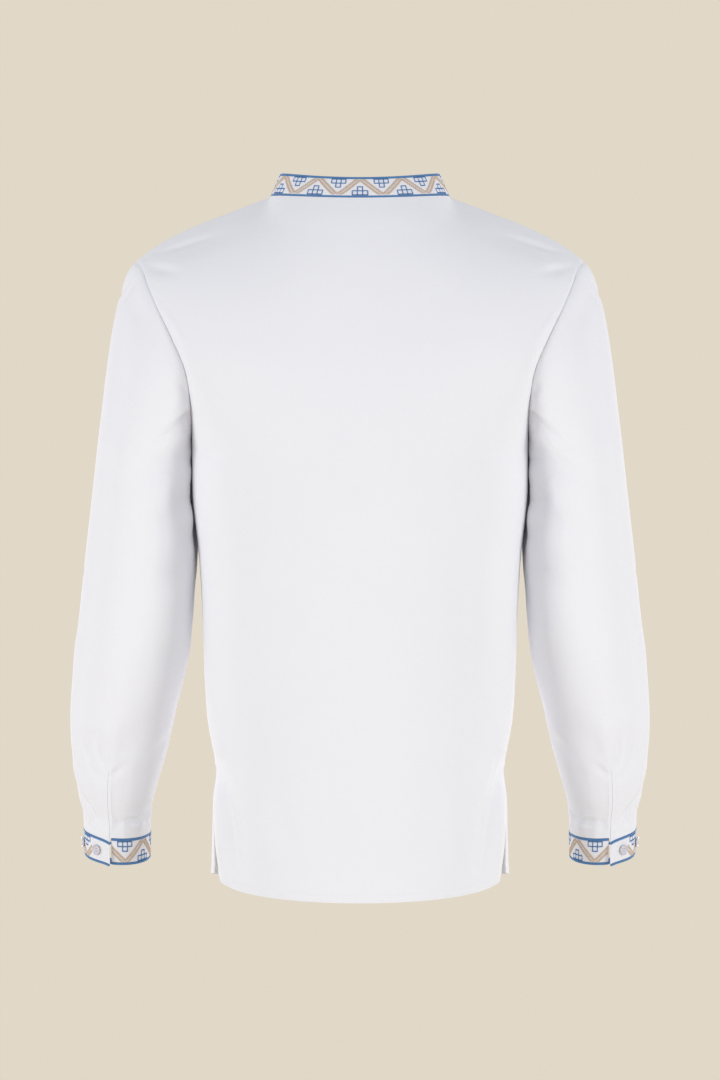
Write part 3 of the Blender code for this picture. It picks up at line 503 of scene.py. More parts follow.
def armhole(angle):
    """The body's armhole edge by the angle round the sleeve, and the body's outward direction there."""
    angle = wrap(angle)
    on_back = np.abs(angle) <= 90
    level = np.where(on_back, 90 - angle, angle - 90) / 180 * ARMHOLE_LEVELS
    ones = np.ones_like(level)
    back, front = BACK.smooth(ones, level), FRONT.smooth(ones, level)
    back[..., 1] += SEAM_TOUCH
    front[..., 1] -= SEAM_TOUCH
    pick = on_back[..., None]
    edge = np.where(pick, back, front)
    return edge, np.where(pick, BACK.normal(ones, level), FRONT.normal(ones, level))


def flank(y, z):
    """The body's half width at a depth and a height, below the armhole's edge."""
    found = []
    fine = np.linspace(0, HEM_LEVEL, 1701)
    for panel in (BACK, FRONT):
        row = panel.row(np.interp(-z, -panel.row(fine)[:, 4], fine))
        turn = np.radians(row[..., 5])
        round_in = np.clip((y - row[..., 3]) / (row[..., 0] - row[..., 3]), 0.0, 1.0)
        here = np.arccos(np.minimum(round_in * (1 - np.cos(turn)) + np.cos(turn), 1.0))
        corner = 1 + SIDE_FULLNESS * np.sin(2 * here) ** 2
        found.append(row[..., 2] * np.sin(here) / np.sin(turn) * corner)
    return np.where(y >= 0, found[0], found[1])


def past_vent(angle):
    """Degrees past the wrist slit, counted from the button side of it."""
    return (angle - VENT_ANGLE + 1.8) % 360


def vent_top():
    """The place down the sleeve at which the wrist slit ends."""
    fine = np.linspace(6, 10, 400)
    return float(np.interp(-VENT_TOP_Z, -sleeve_ring(np.zeros(400), fine)[:, 2], fine))


def cuff_wave(angle):
    """How the wrist edge dips at the button end."""
    past = past_vent(angle)
    drop = 5.0 * np.exp(-past / 12) + 0.6
    return np.where(past > 180, 0.0, -drop * np.cos(np.radians(past / 2)) ** 2)


def sleeve_ring(angle, place):
    """A point of a full sleeve ring, on the wearer's left."""
    row = rows_at(SLEEVE_ROWS, place)
    turn = np.radians(angle)
    middle, half = (row[..., 1] + row[..., 2]) / 2, (row[..., 1] - row[..., 2]) / 2
    x = middle + half * np.sin(turn)
    y = row[..., 3] + row[..., 4] * np.cos(turn)
    z = row[..., 0] + row[..., 5] * np.sin(turn) + row[..., 6] * np.cos(turn)
    off = ((angle - SLEEVE_FULL_ANGLE) % 360 + 180) % 360 - 180
    x = x - row[..., 7] * np.exp(-((off / SLEEVE_FULL_SPREAD) ** 2))
    z = z + cuff_wave(angle) * np.clip((place - SLEEVE_LAST + 3) / 3, 0.0, 1.0) ** 2
    return np.stack([x, y, z], -1)


def sleeve_base(angle, place, start):
    """A point of the sleeve: place -1 to 0 is the cap from its start, and 0 onwards counts full rings."""
    ring = sleeve_ring(angle, np.maximum(place, 0.0))
    share = np.clip(place + 1, 0.0, 1.0)
    turn = np.radians(angle)
    out = np.stack([np.sin(turn), np.cos(turn), np.zeros_like(turn)], -1)
    swell = (5.5 + 5.0 * np.sin(turn)) * np.sin(np.pi * share**0.55)
    cap = start + (ring - start) * share[..., None] + out * swell[..., None]
    point = np.where((place >= 0)[..., None], ring, cap)
    away = SLEEVE_CLEARANCE * (1 + 2 * np.minimum(share / 0.15, 1.0))
    body = flank(point[..., 1], point[..., 2]) + away
    inner = (share > 0) & ((angle < 0) | (angle > 180)) & (point[..., 2] > SLEEVE_FREE_Z)
    point[..., 0] = np.where(inner, np.maximum(point[..., 0], body), point[..., 0])
    return point


SEAM_TABLE = []


def armhole_seam(angle):
    """The sleeve's start and its edge's direction, read from a fine table that is made once."""
    fine = np.linspace(-90, 270, 1441)
    if not SEAM_TABLE:
        SEAM_TABLE.extend(seam_places(fine))
    found = []
    for values in SEAM_TABLE:
        found.append(np.stack([np.interp(wrap(angle), fine, values[:, k]) for k in range(3)], -1))
    return found[0], unit(found[1])


def seam_places(angle):
    """Where the sleeve starts beside the armhole edge, and the direction its cut edge faces."""
    edge, body = armhole(angle)
    ahead, behind = wrap(angle + 2), wrap(angle - 2)
    next_edge, last_edge = armhole(ahead)[0], armhole(behind)[0]
    away = unit(np.cross(body, unit(next_edge - last_edge)))
    near, nearer = np.full_like(angle, -0.93), np.full_like(angle, -0.9)
    round_it = sleeve_base(ahead, near, next_edge) - sleeve_base(behind, near, last_edge)
    cloth = unit(np.cross(round_it, sleeve_base(angle, nearer, edge) - edge))
    bend = np.arctan2(-(cloth * away).sum(-1), (cloth * body).sum(-1))
    bend = np.where(bend < -np.pi / 2, np.pi, bend)
    half = (np.maximum(bend, 0.0) / 2)[..., None]
    start = edge + SEAM_TOUCH * (np.cos(half) * away + np.sin(half) * body)
    return start, np.where((bend < 0)[..., None], body, cloth)


def sleeve_smooth(angle, place):
    """A point of the sleeve without creases."""
    return sleeve_base(angle, place, armhole_seam(angle)[0])


def sleeve_normal(angle, place):
    """The sleeve's outward direction."""
    step = 0.02
    round_it = sleeve_smooth(wrap(angle + 2), place) - sleeve_smooth(wrap(angle - 2), place)
    down = sleeve_smooth(angle, np.minimum(place + step, SLEEVE_LAST))
    down = down - sleeve_smooth(angle, np.maximum(place - step, -1.0))
    out = unit(np.cross(round_it, down))
    return np.where((place < -1 + 1e-6)[..., None], armhole_seam(angle)[1], out)


def sleeve_depth(angle, place, height):
    """How far a sleeve's creases and its gathers at the cuff push it out."""
    keep = np.minimum(1.0, (place + 1) * 6) * np.minimum(1.0, (SLEEVE_LAST - place) * 1.5)
    centred = np.where(angle <= 180, angle, angle - 360)
    total = np.zeros_like(place)
    for turned in (centred, centred + 360):
        total += creases_at(SLEEVE_CREASES, turned, height, 0.9)
    above = np.maximum(SLEEVE_LAST - place, 0.0)
    gather = 0.5 * np.sin(np.radians(angle) * 13 + 1.3 * np.sin(np.radians(angle) * 3))
    gather = gather * np.exp(-(((above - 0.7) / 0.6) ** 2))
    below = (place + 1) * 90
    dip = np.exp(-(np.minimum(below, above * 18) ** 2))
    puff = np.exp(-(((below - 5.0) / 3.0) ** 2))
    return total * keep + gather - SEAM_DIP * dip + SEAM_PUFF * puff


def cuff_point(angle, drop, depth=0.0):
    """A point of the left cuff: an angle round the wrist, a distance down, and a depth inwards."""
    turn = np.radians(angle)
    past = past_vent(angle)
    loose = np.where(past < 180, np.exp(-past / 22), 0.0)
    flare = (1.2 + 0.18 * drop) * loose - 0.03 * drop
    end = SLEEVE_ROWS[-1]
    half_x, half_y = (end[1] - end[2]) / 2, end[4]
    x = (end[1] + end[2]) / 2 + (half_x + flare - depth) * np.sin(turn)
    lean = math.sin(math.radians(CUFF_LEAN))
    y = end[3] + (half_y + flare - depth) * np.cos(turn) - drop * lean
    top = end[0] + end[5] * np.sin(turn) + end[6] * np.cos(turn)
    z = top - drop * (1 - 0.13 * loose) + cuff_wave(angle)
    return np.stack([x, y, z], -1)


def cuff_ends():
    """The angles at which the cuff starts, at its piped end, and ends, at its button end."""
    half = (SLEEVE_ROWS[-1][1] - SLEEVE_ROWS[-1][2]) / 2
    first = VENT_ANGLE - math.degrees(CUFF_OVER_END / half)
    return first, VENT_ANGLE - math.degrees(CUFF_BUTTON_END / half) - 360


def lap_depth(signed):
    """How deep the collar sits: the wearer's left end lies over the right end at the middle front."""
    swing = np.clip((np.abs(signed) - 180 + FRONT_COLUMN) / (FRONT_COLUMN - LAP), 0.0, 1.0)
    swing = swing * swing * (3 - 2 * swing)
    return np.where(signed > 0, -0.2 * swing, (BAND_CLOTH + SEAM_GAP + 0.3) * swing)


def collar_point(signed, rise, depth=0.0):
    """A collar point by its signed angle: past 180 it runs on across the middle front."""
    reach = np.abs(signed)
    side = np.sign(signed)
    side = np.where(reach > 180, -side, side)
    reach = np.where(reach > 180, 360 - reach, reach)
    near = neckline(np.minimum(reach + 1, 180)) - neckline(np.maximum(reach - 1, 0))
    middle = (reach < 1e-6) | (reach > 180 - 1e-6)
    near[..., 1:] = np.where(middle[..., None], 0.0, near[..., 1:])
    along = unit(near)
    out = unit(np.stack([-near[..., 1], near[..., 0], np.zeros_like(reach)], -1))
    upright = unit(np.cross(along, out))
    lean = np.radians(COLLAR_LEAN + COLLAR_LEAN_SWING * np.cos(np.radians(reach)))[..., None]
    up = upright * np.cos(lean) - out * np.sin(lean)
    face = out * np.cos(lean) + upright * np.sin(lean)
    deep = (depth + lap_depth(signed))[..., None]
    point = neckline(reach) + up * np.asarray(rise, float)[..., None] - face * deep
    point[..., 0] *= np.where(side == 0, 1.0, side)
    return point


def share_at(x, level):
    """The share across the front at which it reaches a distance from the middle."""
    low, high = np.zeros_like(level), np.ones_like(level)
    for _ in range(24):
        middle = (low + high) / 2
        short = FRONT.smooth(middle, level)[..., 0] < np.abs(x)
        low, high = np.where(short, middle, low), np.where(short, high, middle)
    return np.copysign(low, x)


def front_at(x, level, depth=0.0):
    """A point of the front near its middle, at an exact distance across."""
    s = share_at(x, level)
    point = FRONT.point(s, level) - np.asarray(depth, float)[..., None] * FRONT.normal(s, level)
    point[..., 0] = x
    return point


class Wire:
    """A shader value that can be added to and multiplied: each sign adds its own Math node."""

    def __init__(self, shader, socket):
        self.shader = shader
        self.socket = socket

    def sum(self, operation, *values):
        """One Math node on these values."""
        node = self.shader.node("ShaderNodeMath", {"operation": operation}, dict(enumerate(values)))
        return Wire(self.shader, node.outputs[0])

    def __add__(self, other):
        return self.sum("ADD", self, other)

    def __mul__(self, other):
        return self.sum("MULTIPLY", self, other)

    def sine(self):
        """The sine of the value."""
        return self.sum("SINE", self)


class Shader:
    """A finish being made. node() adds any node, with its settings first and then its sockets."""

    def __init__(self, name):
        self.material = bpy.data.materials.new(name)
        self.material.use_nodes = True
        self.nodes = self.material.node_tree.nodes
        self.links = self.material.node_tree.links
        self.surface = self.nodes["Principled BSDF"]

    def node(self, kind, settings=None, sockets=None):
        """Adds a node of one type."""
        made = self.nodes.new(kind)
        for name, value in (settings or {}).items():
            setattr(made, name, value)
        for name, value in (sockets or {}).items():
            self.feed(made.inputs[name], value)
        return made

    def feed(self, socket, value):
        """Links a wire to a socket or sets its value."""
        if isinstance(value, Wire):
            self.links.new(value.socket, socket)
        elif isinstance(value, bpy.types.NodeSocket):
            self.links.new(value, socket)
        else:
            socket.default_value = value

    def wire(self, node, output=0):
        """A node's output as a wire."""
        return Wire(self, node.outputs[output])

    def place(self):
        """The piece's own flat coordinates, in metres: along and up."""
        flat = self.node("ShaderNodeUVMap", {"uv_map": "cloth"})
        split = self.node("ShaderNodeSeparateXYZ", None, {0: flat.outputs[0]})
        return flat.outputs[0], self.wire(split, 0), self.wire(split, 1)

    def noise(self, vector, stretch, scale, detail=3.0):
        """Noise on a vector that is stretched first."""
        mapped = self.node("ShaderNodeMapping", None, {"Vector": vector, "Scale": stretch})
        made = self.node(
            "ShaderNodeTexNoise",
            None,
            {"Vector": mapped.outputs[0], "Scale": scale, "Detail": detail, "Roughness": 0.55},
        )
        return self.wire(made, "Fac")

    def mix(self, share, first, second):
        """Two colours mixed by a share."""
        made = self.node("ShaderNodeMix", {"data_type": "RGBA"}, {"Factor": share})
        for socket, value in ((made.inputs[6], first), (made.inputs[7], second)):
            self.feed(socket, (*value, 1.0))
        return made.outputs[2]

    def bump(self, height, strength, distance):
        """Feeds a height to the surface's normal."""
        made = self.node(
            "ShaderNodeBump", None, {"Strength": strength, "Distance": distance, "Height": height}
        )
        self.feed(self.surface.inputs["Normal"], made.outputs[0])

    def surface_set(self, **values):
        """Sets the shader's own sockets, with spaces as underscores."""
        for name, value in values.items():
            self.feed(self.surface.inputs[name.replace("_", " ")], value)


def weave_height(along, up, pitch):
    """Plain weave: threads of a pitch in metres that pass over and under each other."""
    over = (along * (math.pi / pitch)).sine()
    under = (up * (math.pi / pitch)).sine()
    return over * under * 0.5 + 0.5


def cotton(name, colour, shade, pitch, depth):
    """White woven cotton with slubs and a faint cloudiness."""
    shader = Shader(name)
    flat, along, up = shader.place()
    weave = weave_height(along, up, pitch)
    slubs = shader.noise(flat, (60, 1400, 1), 1.0) * 0.5 + shader.noise(flat, (1400, 60, 1), 1.0) * 0.5
    clouds = shader.noise(flat, (1, 1, 1), 9.0)
    creased = shader.noise(flat, (1, 0.45, 1), 34.0)
    share = clouds * 0.5 + slubs * 0.5
    shader.surface_set(
        Base_Color=shader.mix(share, shade, colour),
        Roughness=slubs * 0.12 + 0.78,
        Sheen_Weight=0.12,
        Sheen_Roughness=0.5,
        Specular_IOR_Level=0.25,
    )
    shader.bump(weave * 0.35 + slubs * 0.5 + creased * 3.0, 0.35, depth)
    return shader.material


def cord_cloth(name, colour, shade):
    """Blue bias cloth drawn tight over a cord: slanted ribs, with painted shade between them, and a soft
    shine.
    """
    shader = Shader(name)
    flat, along, up = shader.place()
    ribs = (along * 5200 + up * 5200).sine() * 0.5 + 0.5
    clouds = shader.noise(flat, (1, 1, 1), 220.0)
    # The blue darkens between the ribs: painted shade in the grooves, with cloudy tone mixed in.
    shader.surface_set(
        Base_Color=shader.mix(ribs * 0.6 + clouds * 0.4, shade, colour),
        Roughness=clouds * 0.15 + 0.5,
        Sheen_Weight=0.2,
        Specular_IOR_Level=0.35,
    )
    shader.bump(ribs, 0.5, 0.0002)
    return shader.material


def thread(name, colour, shade, roughness):
    """Stranded embroidery thread, with fine strands along each stitch."""
    shader = Shader(name)
    place = shader.node("ShaderNodeTexCoord").outputs["Object"]
    strands = shader.noise(place, (1, 1, 1), 2400.0, 1.0)
    clouds = shader.noise(place, (1, 1, 1), 260.0, 2.0)
    shader.surface_set(
        Base_Color=shader.mix(strands * 0.45 + clouds * 0.55, shade, colour),
        Roughness=strands * 0.2 + roughness,
        Sheen_Weight=0.15,
        Specular_IOR_Level=0.4,
    )
    shader.bump(strands, 0.4, 0.0001)
    return shader.material


def pearl(name, colour, shade):
    """Pearl plastic: cloudy bands under a gloss."""
    shader = Shader(name)
    place = shader.node("ShaderNodeTexCoord").outputs["Object"]
    swirl = shader.noise(place, (1, 1, 2.5), 320.0, 2.0)
    streaks = (swirl * 22 + shader.noise(place, (1, 1, 1), 90.0, 1.0) * 30).sine() * 0.5 + 0.5
    shader.surface_set(
        Base_Color=shader.mix(streaks, shade, colour),
        Roughness=streaks * 0.1 + 0.18,
        Coat_Weight=0.6,
        Coat_Roughness=0.08,
    )
    shader.bump(streaks, 0.1, 0.0001)
    return shader.material


def finish(name):
    """A named finish of the shirt, made when it is first wanted."""
    made = bpy.data.materials.get(name)
    if made:
        return made
    look = bpy.context.scene.shirt_look
    makers = {
        "shirt_cotton": lambda n: cotton(n, look.cloth_colour, look.cloth_shade, 0.00045, 0.0003),
        "band_cotton": lambda n: cotton(n, look.band_colour, look.cloth_shade, 0.0006, 0.0004),
        "blue_cord": lambda n: cord_cloth(n, look.piping_colour, look.piping_groove_shade_and_strand_tone),
        "blue_thread": lambda n: thread(n, look.blue_thread, look.piping_groove_shade_and_strand_tone, 0.45),
        "tan_thread": lambda n: thread(n, look.tan_thread, look.tan_shade, 0.45),
        "white_thread": lambda n: thread(n, look.white_thread, look.cloth_shade, 0.5),
        "dark_tan_thread": lambda n: thread(n, look.tan_shade, look.tan_shade, 0.5),
        "pearl_plastic": lambda n: pearl(n, look.button_colour, look.button_shade),
    }
    return makers[name](name)


def add_piece(name, mesh, look, slot, nodes=(), smooth=60.0):
    """Puts a mesh in the scene as a piece that rides on the shirt."""
    obj = bpy.data.objects.new(name, mesh)
    bpy.context.scene.collection.objects.link(obj)
    mesh.materials.clear()
    mesh.materials.append(finish(look))
    mesh.shade_smooth()
    mesh.set_sharp_from_angle(angle=math.radians(smooth))
    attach(obj, "root")
    if nodes:
        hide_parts(*nodes)
    return obj


def mesh_from(name, points, faces, flat=None):
    """A mesh from points in millimetres, faces and a flat place in millimetres for each face corner."""
    used = np.unique(np.concatenate([f.ravel() for f in faces]))
    fresh = np.full(len(points), -1)
    fresh[used] = np.arange(len(used))
    mesh = bpy.data.meshes.new(name)
    mesh.vertices.add(len(used))
    mesh.vertices.foreach_set("co", (points[used] * MM).ravel())
    corners = np.concatenate([fresh[f].ravel() for f in faces])
    sizes = np.concatenate([np.full(len(f), f.shape[1]) for f in faces])
    mesh.loops.add(len(corners))
    mesh.loops.foreach_set("vertex_index", corners)
    mesh.polygons.add(len(sizes))
    mesh.polygons.foreach_set("loop_start", np.concatenate([[0], np.cumsum(sizes)[:-1]]))
    if flat is not None:
        layer = mesh.uv_layers.new(name="cloth")
        layer.data.foreach_set("uv", (np.concatenate([f.reshape(-1, 2) for f in flat]) * MM).ravel())
    mesh.update(calc_edges=True)
    if signed_volume(mesh) < 0:
        mesh.flip_normals()
    mesh.validate()
    return mesh


def signed_volume(mesh):
    """The volume that a closed mesh holds, below zero if it is inside out."""
    mesh.calc_loop_triangles()
    count = len(mesh.loop_triangles)
    corner = np.empty(count * 3, int)
    mesh.loop_triangles.foreach_get("vertices", corner)
    co = np.empty(len(mesh.vertices) * 3)
    mesh.vertices.foreach_get("co", co)
    a, b, c = co.reshape(-1, 3)[corner.reshape(-1, 3)].transpose(1, 0, 2)
    return float((a * np.cross(b, c)).sum()) / 6


def cut_of(obj):
    """Sums the areas of a cloth's faces and halves it; the result is not kept."""
    area = sum(p.area for p in obj.data.polygons) / 2


def cloth_mesh(name, outer, inner, kept=None, joined=None):
    """A cloth between an outer and an inner grid. Joined rows meet their own start at their end."""
    rows, columns = outer.shape[:2]
    ids = np.arange(rows * columns).reshape(rows, columns)
    if joined is not None:
        ids[joined, -1] = ids[joined, 0]
    kept = np.ones((rows - 1, columns - 1), bool) if kept is None else kept
    across = np.linalg.norm(np.diff(outer, axis=1), axis=-1)
    down = np.linalg.norm(np.diff(outer, axis=0), axis=-1)
    u = np.concatenate([np.zeros((rows, 1)), np.cumsum(across, 1)], 1)
    u -= u[:, columns // 2, None]
    middle = np.concatenate([[0.0], np.cumsum(down[:, columns // 2])])
    v = np.broadcast_to(-middle[:, None], u.shape)
    flat = np.stack([u, v], -1).reshape(-1, 2)
    grid = np.arange(rows * columns).reshape(rows, columns)
    i, j = np.nonzero(kept)
    corners = ((i, j), (i, j + 1), (i + 1, j + 1), (i + 1, j))
    quads = np.stack([ids[c] for c in corners], 1)
    places = flat[np.stack([grid[c] for c in corners], 1)]
    count = rows * columns
    faces, flats = [quads, quads[:, ::-1] + count], [places, places[:, ::-1]]
    tight = np.zeros(rows, bool) if joined is None else joined
    edge = np.zeros((rows + 1, columns + 1), bool)
    edge[1:rows, 1:columns] = kept
    beyond = {0: edge[i, j + 1], 1: edge[i + 1, j + 2], 2: edge[i + 2, j + 1], 3: edge[i + 1, j]}
    both = tight[i] & tight[i + 1]
    for side in range(4):
        bare = ~beyond[side]
        if side == 1:
            bare &= ~(both & (j == columns - 2))
        if side == 3:
            bare &= ~(both & (j == 0))
        a, b = quads[bare, side], quads[bare, (side + 1) % 4]
        pa, pb = places[bare, side], places[bare, (side + 1) % 4]
        faces.append(np.stack([b, a, a + count, b + count], 1))
        flats.append(np.stack([pb, pa, pa, pb], 1))
    points = np.concatenate([outer.reshape(-1, 3), inner.reshape(-1, 3)])
    return mesh_from(name, points, faces, flats)


def lofted(name, rings, along, around):
    """A closed skin through rings of points, with rounded ends filled."""
    count, sides = rings.shape[:2]
    ids = np.arange(count * sides).reshape(count, sides)
    i, j = np.meshgrid(np.arange(count - 1), np.arange(sides), indexing="ij")
    i, j = i.ravel(), j.ravel()
    after = (j + 1) % sides
    faces = [np.stack([ids[i, j], ids[i, after], ids[i + 1, after], ids[i + 1, j]], 1)]
    u = np.stack([along[i], along[i], along[i + 1], along[i + 1]], 1)
    v = np.stack([around[j], around[j + 1], around[j + 1], around[j]], 1)
    flats = [np.stack([u, v], -1)]
    for ring, end in ((ids[0][::-1], along[0]), (ids[-1], along[-1])):
        faces.append(ring[None])
        flats.append(np.stack([np.full(sides, end), around[:sides]], -1)[None])
    return mesh_from(name, rings.reshape(-1, 3), faces, flats)


def mirrored(points, side):
    """Points for one side of the body."""
    return points * np.array([side, 1.0, 1.0])


def panel_levels(extra=()):
    """Levels from shoulder to hem, closer at the seams and at the hem's turn."""
    even = (np.linspace(0, ARMHOLE_LEVELS, 89), np.linspace(ARMHOLE_LEVELS, HEM_LEVEL, 127))
    found = np.unique(np.round(np.concatenate([*even, SEAM_LEVELS, TURN_LEVELS, extra]), 6))
    return found[np.concatenate([[True], np.diff(found) > 0.006])]


def half_shares():
    """Shares across half a panel, closer at the edge."""
    neck = np.linspace(0, NECK_SHARE, 31)
    rest = np.linspace(NECK_SHARE, 1, 46)
    return np.unique(np.round(np.concatenate([neck, rest, EDGE_SHARES]), 6))


def rounded_corner(s, level, points):
    """The back's slit edge curves in to the hem."""
    low = np.clip((level - CORNER_LEVEL) / (HEM_LEVEL - CORNER_LEVEL), 0.0, 1.0)
    out = np.clip((np.abs(s) - CORNER_SHARE) / (1 - CORNER_SHARE), 0.0, 1.0)
    turned = low**2 * out**2
    points[..., 0] -= np.sign(s) * CORNER_PULL * turned
    points[..., 2] += CORNER_RISE * turned
    return points


def make_back():
    """The back, cut in one piece."""
    half = half_shares()
    s, level = np.meshgrid(np.concatenate([-half[:0:-1], half]), panel_levels(), indexing="xy")
    outer = rounded_corner(s, level, BACK.point(s, level))
    inner = outer - CLOTH * BACK.normal(s, level)
    mesh = cloth_mesh("back_cloth", outer, inner)
    obj = add_piece("back_cloth", mesh, "shirt_cotton", "white_cotton", ("back_panel",))
    cut_of(obj)


def make_front():
    """The front, in one piece, with a slot for the placket."""
    levels = panel_levels((PLACKET_LEVEL,))
    edge = PLACKET_WIDTH / 2 + SEAM_GAP / 2
    slot = np.linspace(-edge, edge, 9)
    across, level = np.meshgrid(slot, levels, indexing="xy")
    middle = share_at(across, level)
    first = middle[:, -1:]
    neck = first + (NECK_SHARE - first) * np.linspace(0, 1, 31)[3:]
    half = half_shares()
    rest = half[half > NECK_SHARE + 1e-6]
    outward = np.concatenate([neck, np.repeat(rest[None], len(levels), 0)], 1)
    s = np.concatenate([-outward[:, ::-1], middle, outward], 1)
    level = np.repeat(levels[:, None], s.shape[1], 1)
    outer = FRONT.point(s, level)
    inner = outer - CLOTH * FRONT.normal(s, level)
    start = outward.shape[1]
    for grid in (outer, inner):
        grid[:, start : start + len(slot), 0] = slot
    kept = np.ones((len(levels) - 1, s.shape[1] - 1), bool)
    stop = int(np.argmin(np.abs(levels - PLACKET_LEVEL)))
    kept[:stop, start : start + len(slot) - 1] = False
    mesh = cloth_mesh("front_cloth", outer, inner, kept)
    obj = add_piece("front_cloth", mesh, "shirt_cotton", "white_cotton", ("front_panel",))
    cut_of(obj)


def strip_mesh(name, across, levels, depth, thick):
    """A placket strip on the front's own points, with soft edges."""
    x, level = np.meshgrid(across, levels, indexing="xy")
    half = np.abs(across).max()
    soft = np.exp(-(((half - np.abs(x)) / 0.7) ** 2)) * 0.4
    line = np.exp(-(((half - np.abs(x) - STRIP_LINE) / 0.8) ** 2)) * 0.35
    outer = front_at(x, level, depth + soft + line)
    inner = front_at(x, level, np.full_like(x, depth + thick))
    return cloth_mesh(name, outer, inner)


def make_placket():
    """The upper strip fills the slot, and the under strip lies behind it."""
    half = PLACKET_WIDTH / 2 - SEAM_GAP / 2
    close = (0.6 - half, half - 0.6, STRIP_LINE - half, half - STRIP_LINE)
    across = np.unique(np.concatenate([np.linspace(-half, half, 15), close]))
    down = np.linspace(0.04, PLACKET_LEVEL - 0.012, 100)
    over = strip_mesh("placket_upper", across, down, -0.5, CLOTH + 0.5)
    upper = add_piece("placket_upper", over, "shirt_cotton", "white_cotton", ("placket_overlap",))
    wide = np.linspace(-PLACKET_WIDTH / 2 - 4, PLACKET_WIDTH / 2 + 4, 13)
    down = np.linspace(0.12, PLACKET_LEVEL + 0.18, 90)
    under = strip_mesh("placket_under", wide, down, CLOTH + SEAM_GAP + 0.1, CLOTH)
    lower = add_piece("placket_under", under, "shirt_cotton", "white_cotton", ("placket_underlap",))
    cut_of(upper)
    cut_of(lower)


def sleeve_grid():
    """Angles and places down a sleeve, from one side of the wrist slit round to the other."""
    cap = np.concatenate([[0.0, 0.006, 0.014, 0.026], np.linspace(0.045, 1, 42)]) - 1
    rings = np.linspace(0, SLEEVE_LAST, 112)[1:]
    places = np.concatenate([cap, rings, [SLEEVE_LAST - 0.05, SLEEVE_LAST - 0.02]])
    top = vent_top()
    places = np.unique(np.round(np.concatenate([places[np.abs(places - top) > 0.05], [top]]), 6))
    row = rows_at(SLEEVE_ROWS, places)
    width = np.clip((places - top) / 0.12, 0.0, 1.0) ** 0.5 * VENT_HALF_WIDTH
    gap = np.degrees(width / ((row[:, 1] - row[:, 2]) / 2))
    share = np.linspace(0, 1, 127)
    close = np.array([0.003, 0.007])
    share = np.unique(np.concatenate([share, close, 1 - close]))
    angle = VENT_ANGLE + gap[:, None] + share[None] * (360 - 2 * gap[:, None])
    place = np.repeat(places[:, None], len(share), 1)
    return wrap(angle), place, places <= top + 1e-9


def make_sleeves():
    """Both sleeves: one piece of cloth each, closed under the arm and slit at the wrist."""
    angle, place, joined = sleeve_grid()
    base = sleeve_smooth(angle, place)
    normal = sleeve_normal(angle, place)
    outer = base + sleeve_depth(angle, place, base[..., 2])[..., None] * normal
    inner = outer - CLOTH * normal
    for side, wearer in ((1, "left"), (-1, "right")):
        name = f"sleeve_cloth_{wearer}"
        mesh = cloth_mesh(name, mirrored(outer, side), mirrored(inner, side), None, joined)
        obj = add_piece(name, mesh, "shirt_cotton", "white_cotton", (f"sleeve_{wearer}",))
        cut_of(obj)


def sleeve_at(angle, place, depth):
    """A point of the sleeve with its creases, at a depth under its outer face."""
    angle = wrap(angle)
    base = sleeve_smooth(angle, place)
    out = sleeve_depth(angle, place, base[..., 2])[..., None] - depth
    return base + out * sleeve_normal(angle, place)


def make_vent_bindings():
    """Narrow bindings inside the wrist slits, joined above their tops."""
    top = vent_top()
    rows = np.concatenate([[top - 0.14, top - 0.08], np.linspace(top - 0.02, SLEEVE_LAST - 0.25, 30)])
    middle = (SLEEVE_ROWS[-2][1] - SLEEVE_ROWS[-2][2]) / 2
    across = VENT_ANGLE + np.degrees(np.array(BINDING_STEPS) / middle)
    angle, place = np.meshgrid(across, rows, indexing="xy")
    outer = sleeve_at(angle, place, BINDING_SINK)
    inner = sleeve_at(angle, place, BINDING_SINK + BINDING_CLOTH)
    for side, wearer in ((1, "left"), (-1, "right")):
        name = f"slit_binding_{wearer}"
        mesh = cloth_mesh(name, mirrored(outer, side), mirrored(inner, side))
        obj = add_piece(name, mesh, "shirt_cotton", "white_cotton", (f"vent_binding_{wearer}",))
        cut_of(obj)


def band_profile(height, thick):
    """A doubled band's cut: heights and depths round it, with rounded edges."""
    corner = 0.7
    turn = np.linspace(0, np.pi / 2, 4)
    face = np.linspace(corner, height - corner, 12)[1:-1]
    parts = [
        (face, np.zeros_like(face)),
        (height - corner + corner * np.sin(turn), corner - corner * np.cos(turn)),
        (height - corner + corner * np.cos(turn), thick - corner + corner * np.sin(turn)),
        (face[::-1], np.full_like(face, thick)),
        (corner - corner * np.sin(turn), thick - corner + corner * np.cos(turn)),
        (corner - corner * np.cos(turn), corner - corner * np.sin(turn)),
    ]
    return np.concatenate([p[0] for p in parts]), np.concatenate([p[1] for p in parts])


def band_mesh(name, place, spots, along, height, side=1):
    """A band lofted along its spots. Its last millimetre at each end is rounded off."""
    heights, depths = band_profile(height, BAND_CLOTH)
    rings = []
    shrink = np.ones(len(spots))
    shrink[[0, -1]] = 0.55
    shrink[[1, -2]] = 0.85
    for spot, keep in zip(spots, shrink):
        middle = BAND_CLOTH / 2
        deep = middle + (depths - middle) * keep
        rings.append(place(np.full(len(heights), spot), heights, deep))
    round_it = np.concatenate([[0], np.cumsum(np.hypot(np.diff(heights), np.diff(depths)))])
    round_it = np.append(round_it, round_it[-1] + 1.0)
    return lofted(name, mirrored(np.array(rings), side), along, round_it)


def run_of(place, spots, height):
    """Distance along a band's face at its middle height, at each of its spots."""
    line = place(spots, np.full(len(spots), height / 2), np.zeros(len(spots)))
    return np.concatenate([[0], np.cumsum(np.linalg.norm(np.diff(line, axis=0), axis=1))])


def cuff_place(angle, up, depth):
    """A point of the left cuff's band, by its height above the band's lower edge."""
    return cuff_point(angle, BAND_FOOT + CUFF_BAND_HEIGHT - up, depth)


def collar_place(signed, up, depth):
    """A point of the collar's band, by its height above the band's lower edge."""
    return collar_point(signed, BAND_FOOT + up, depth)


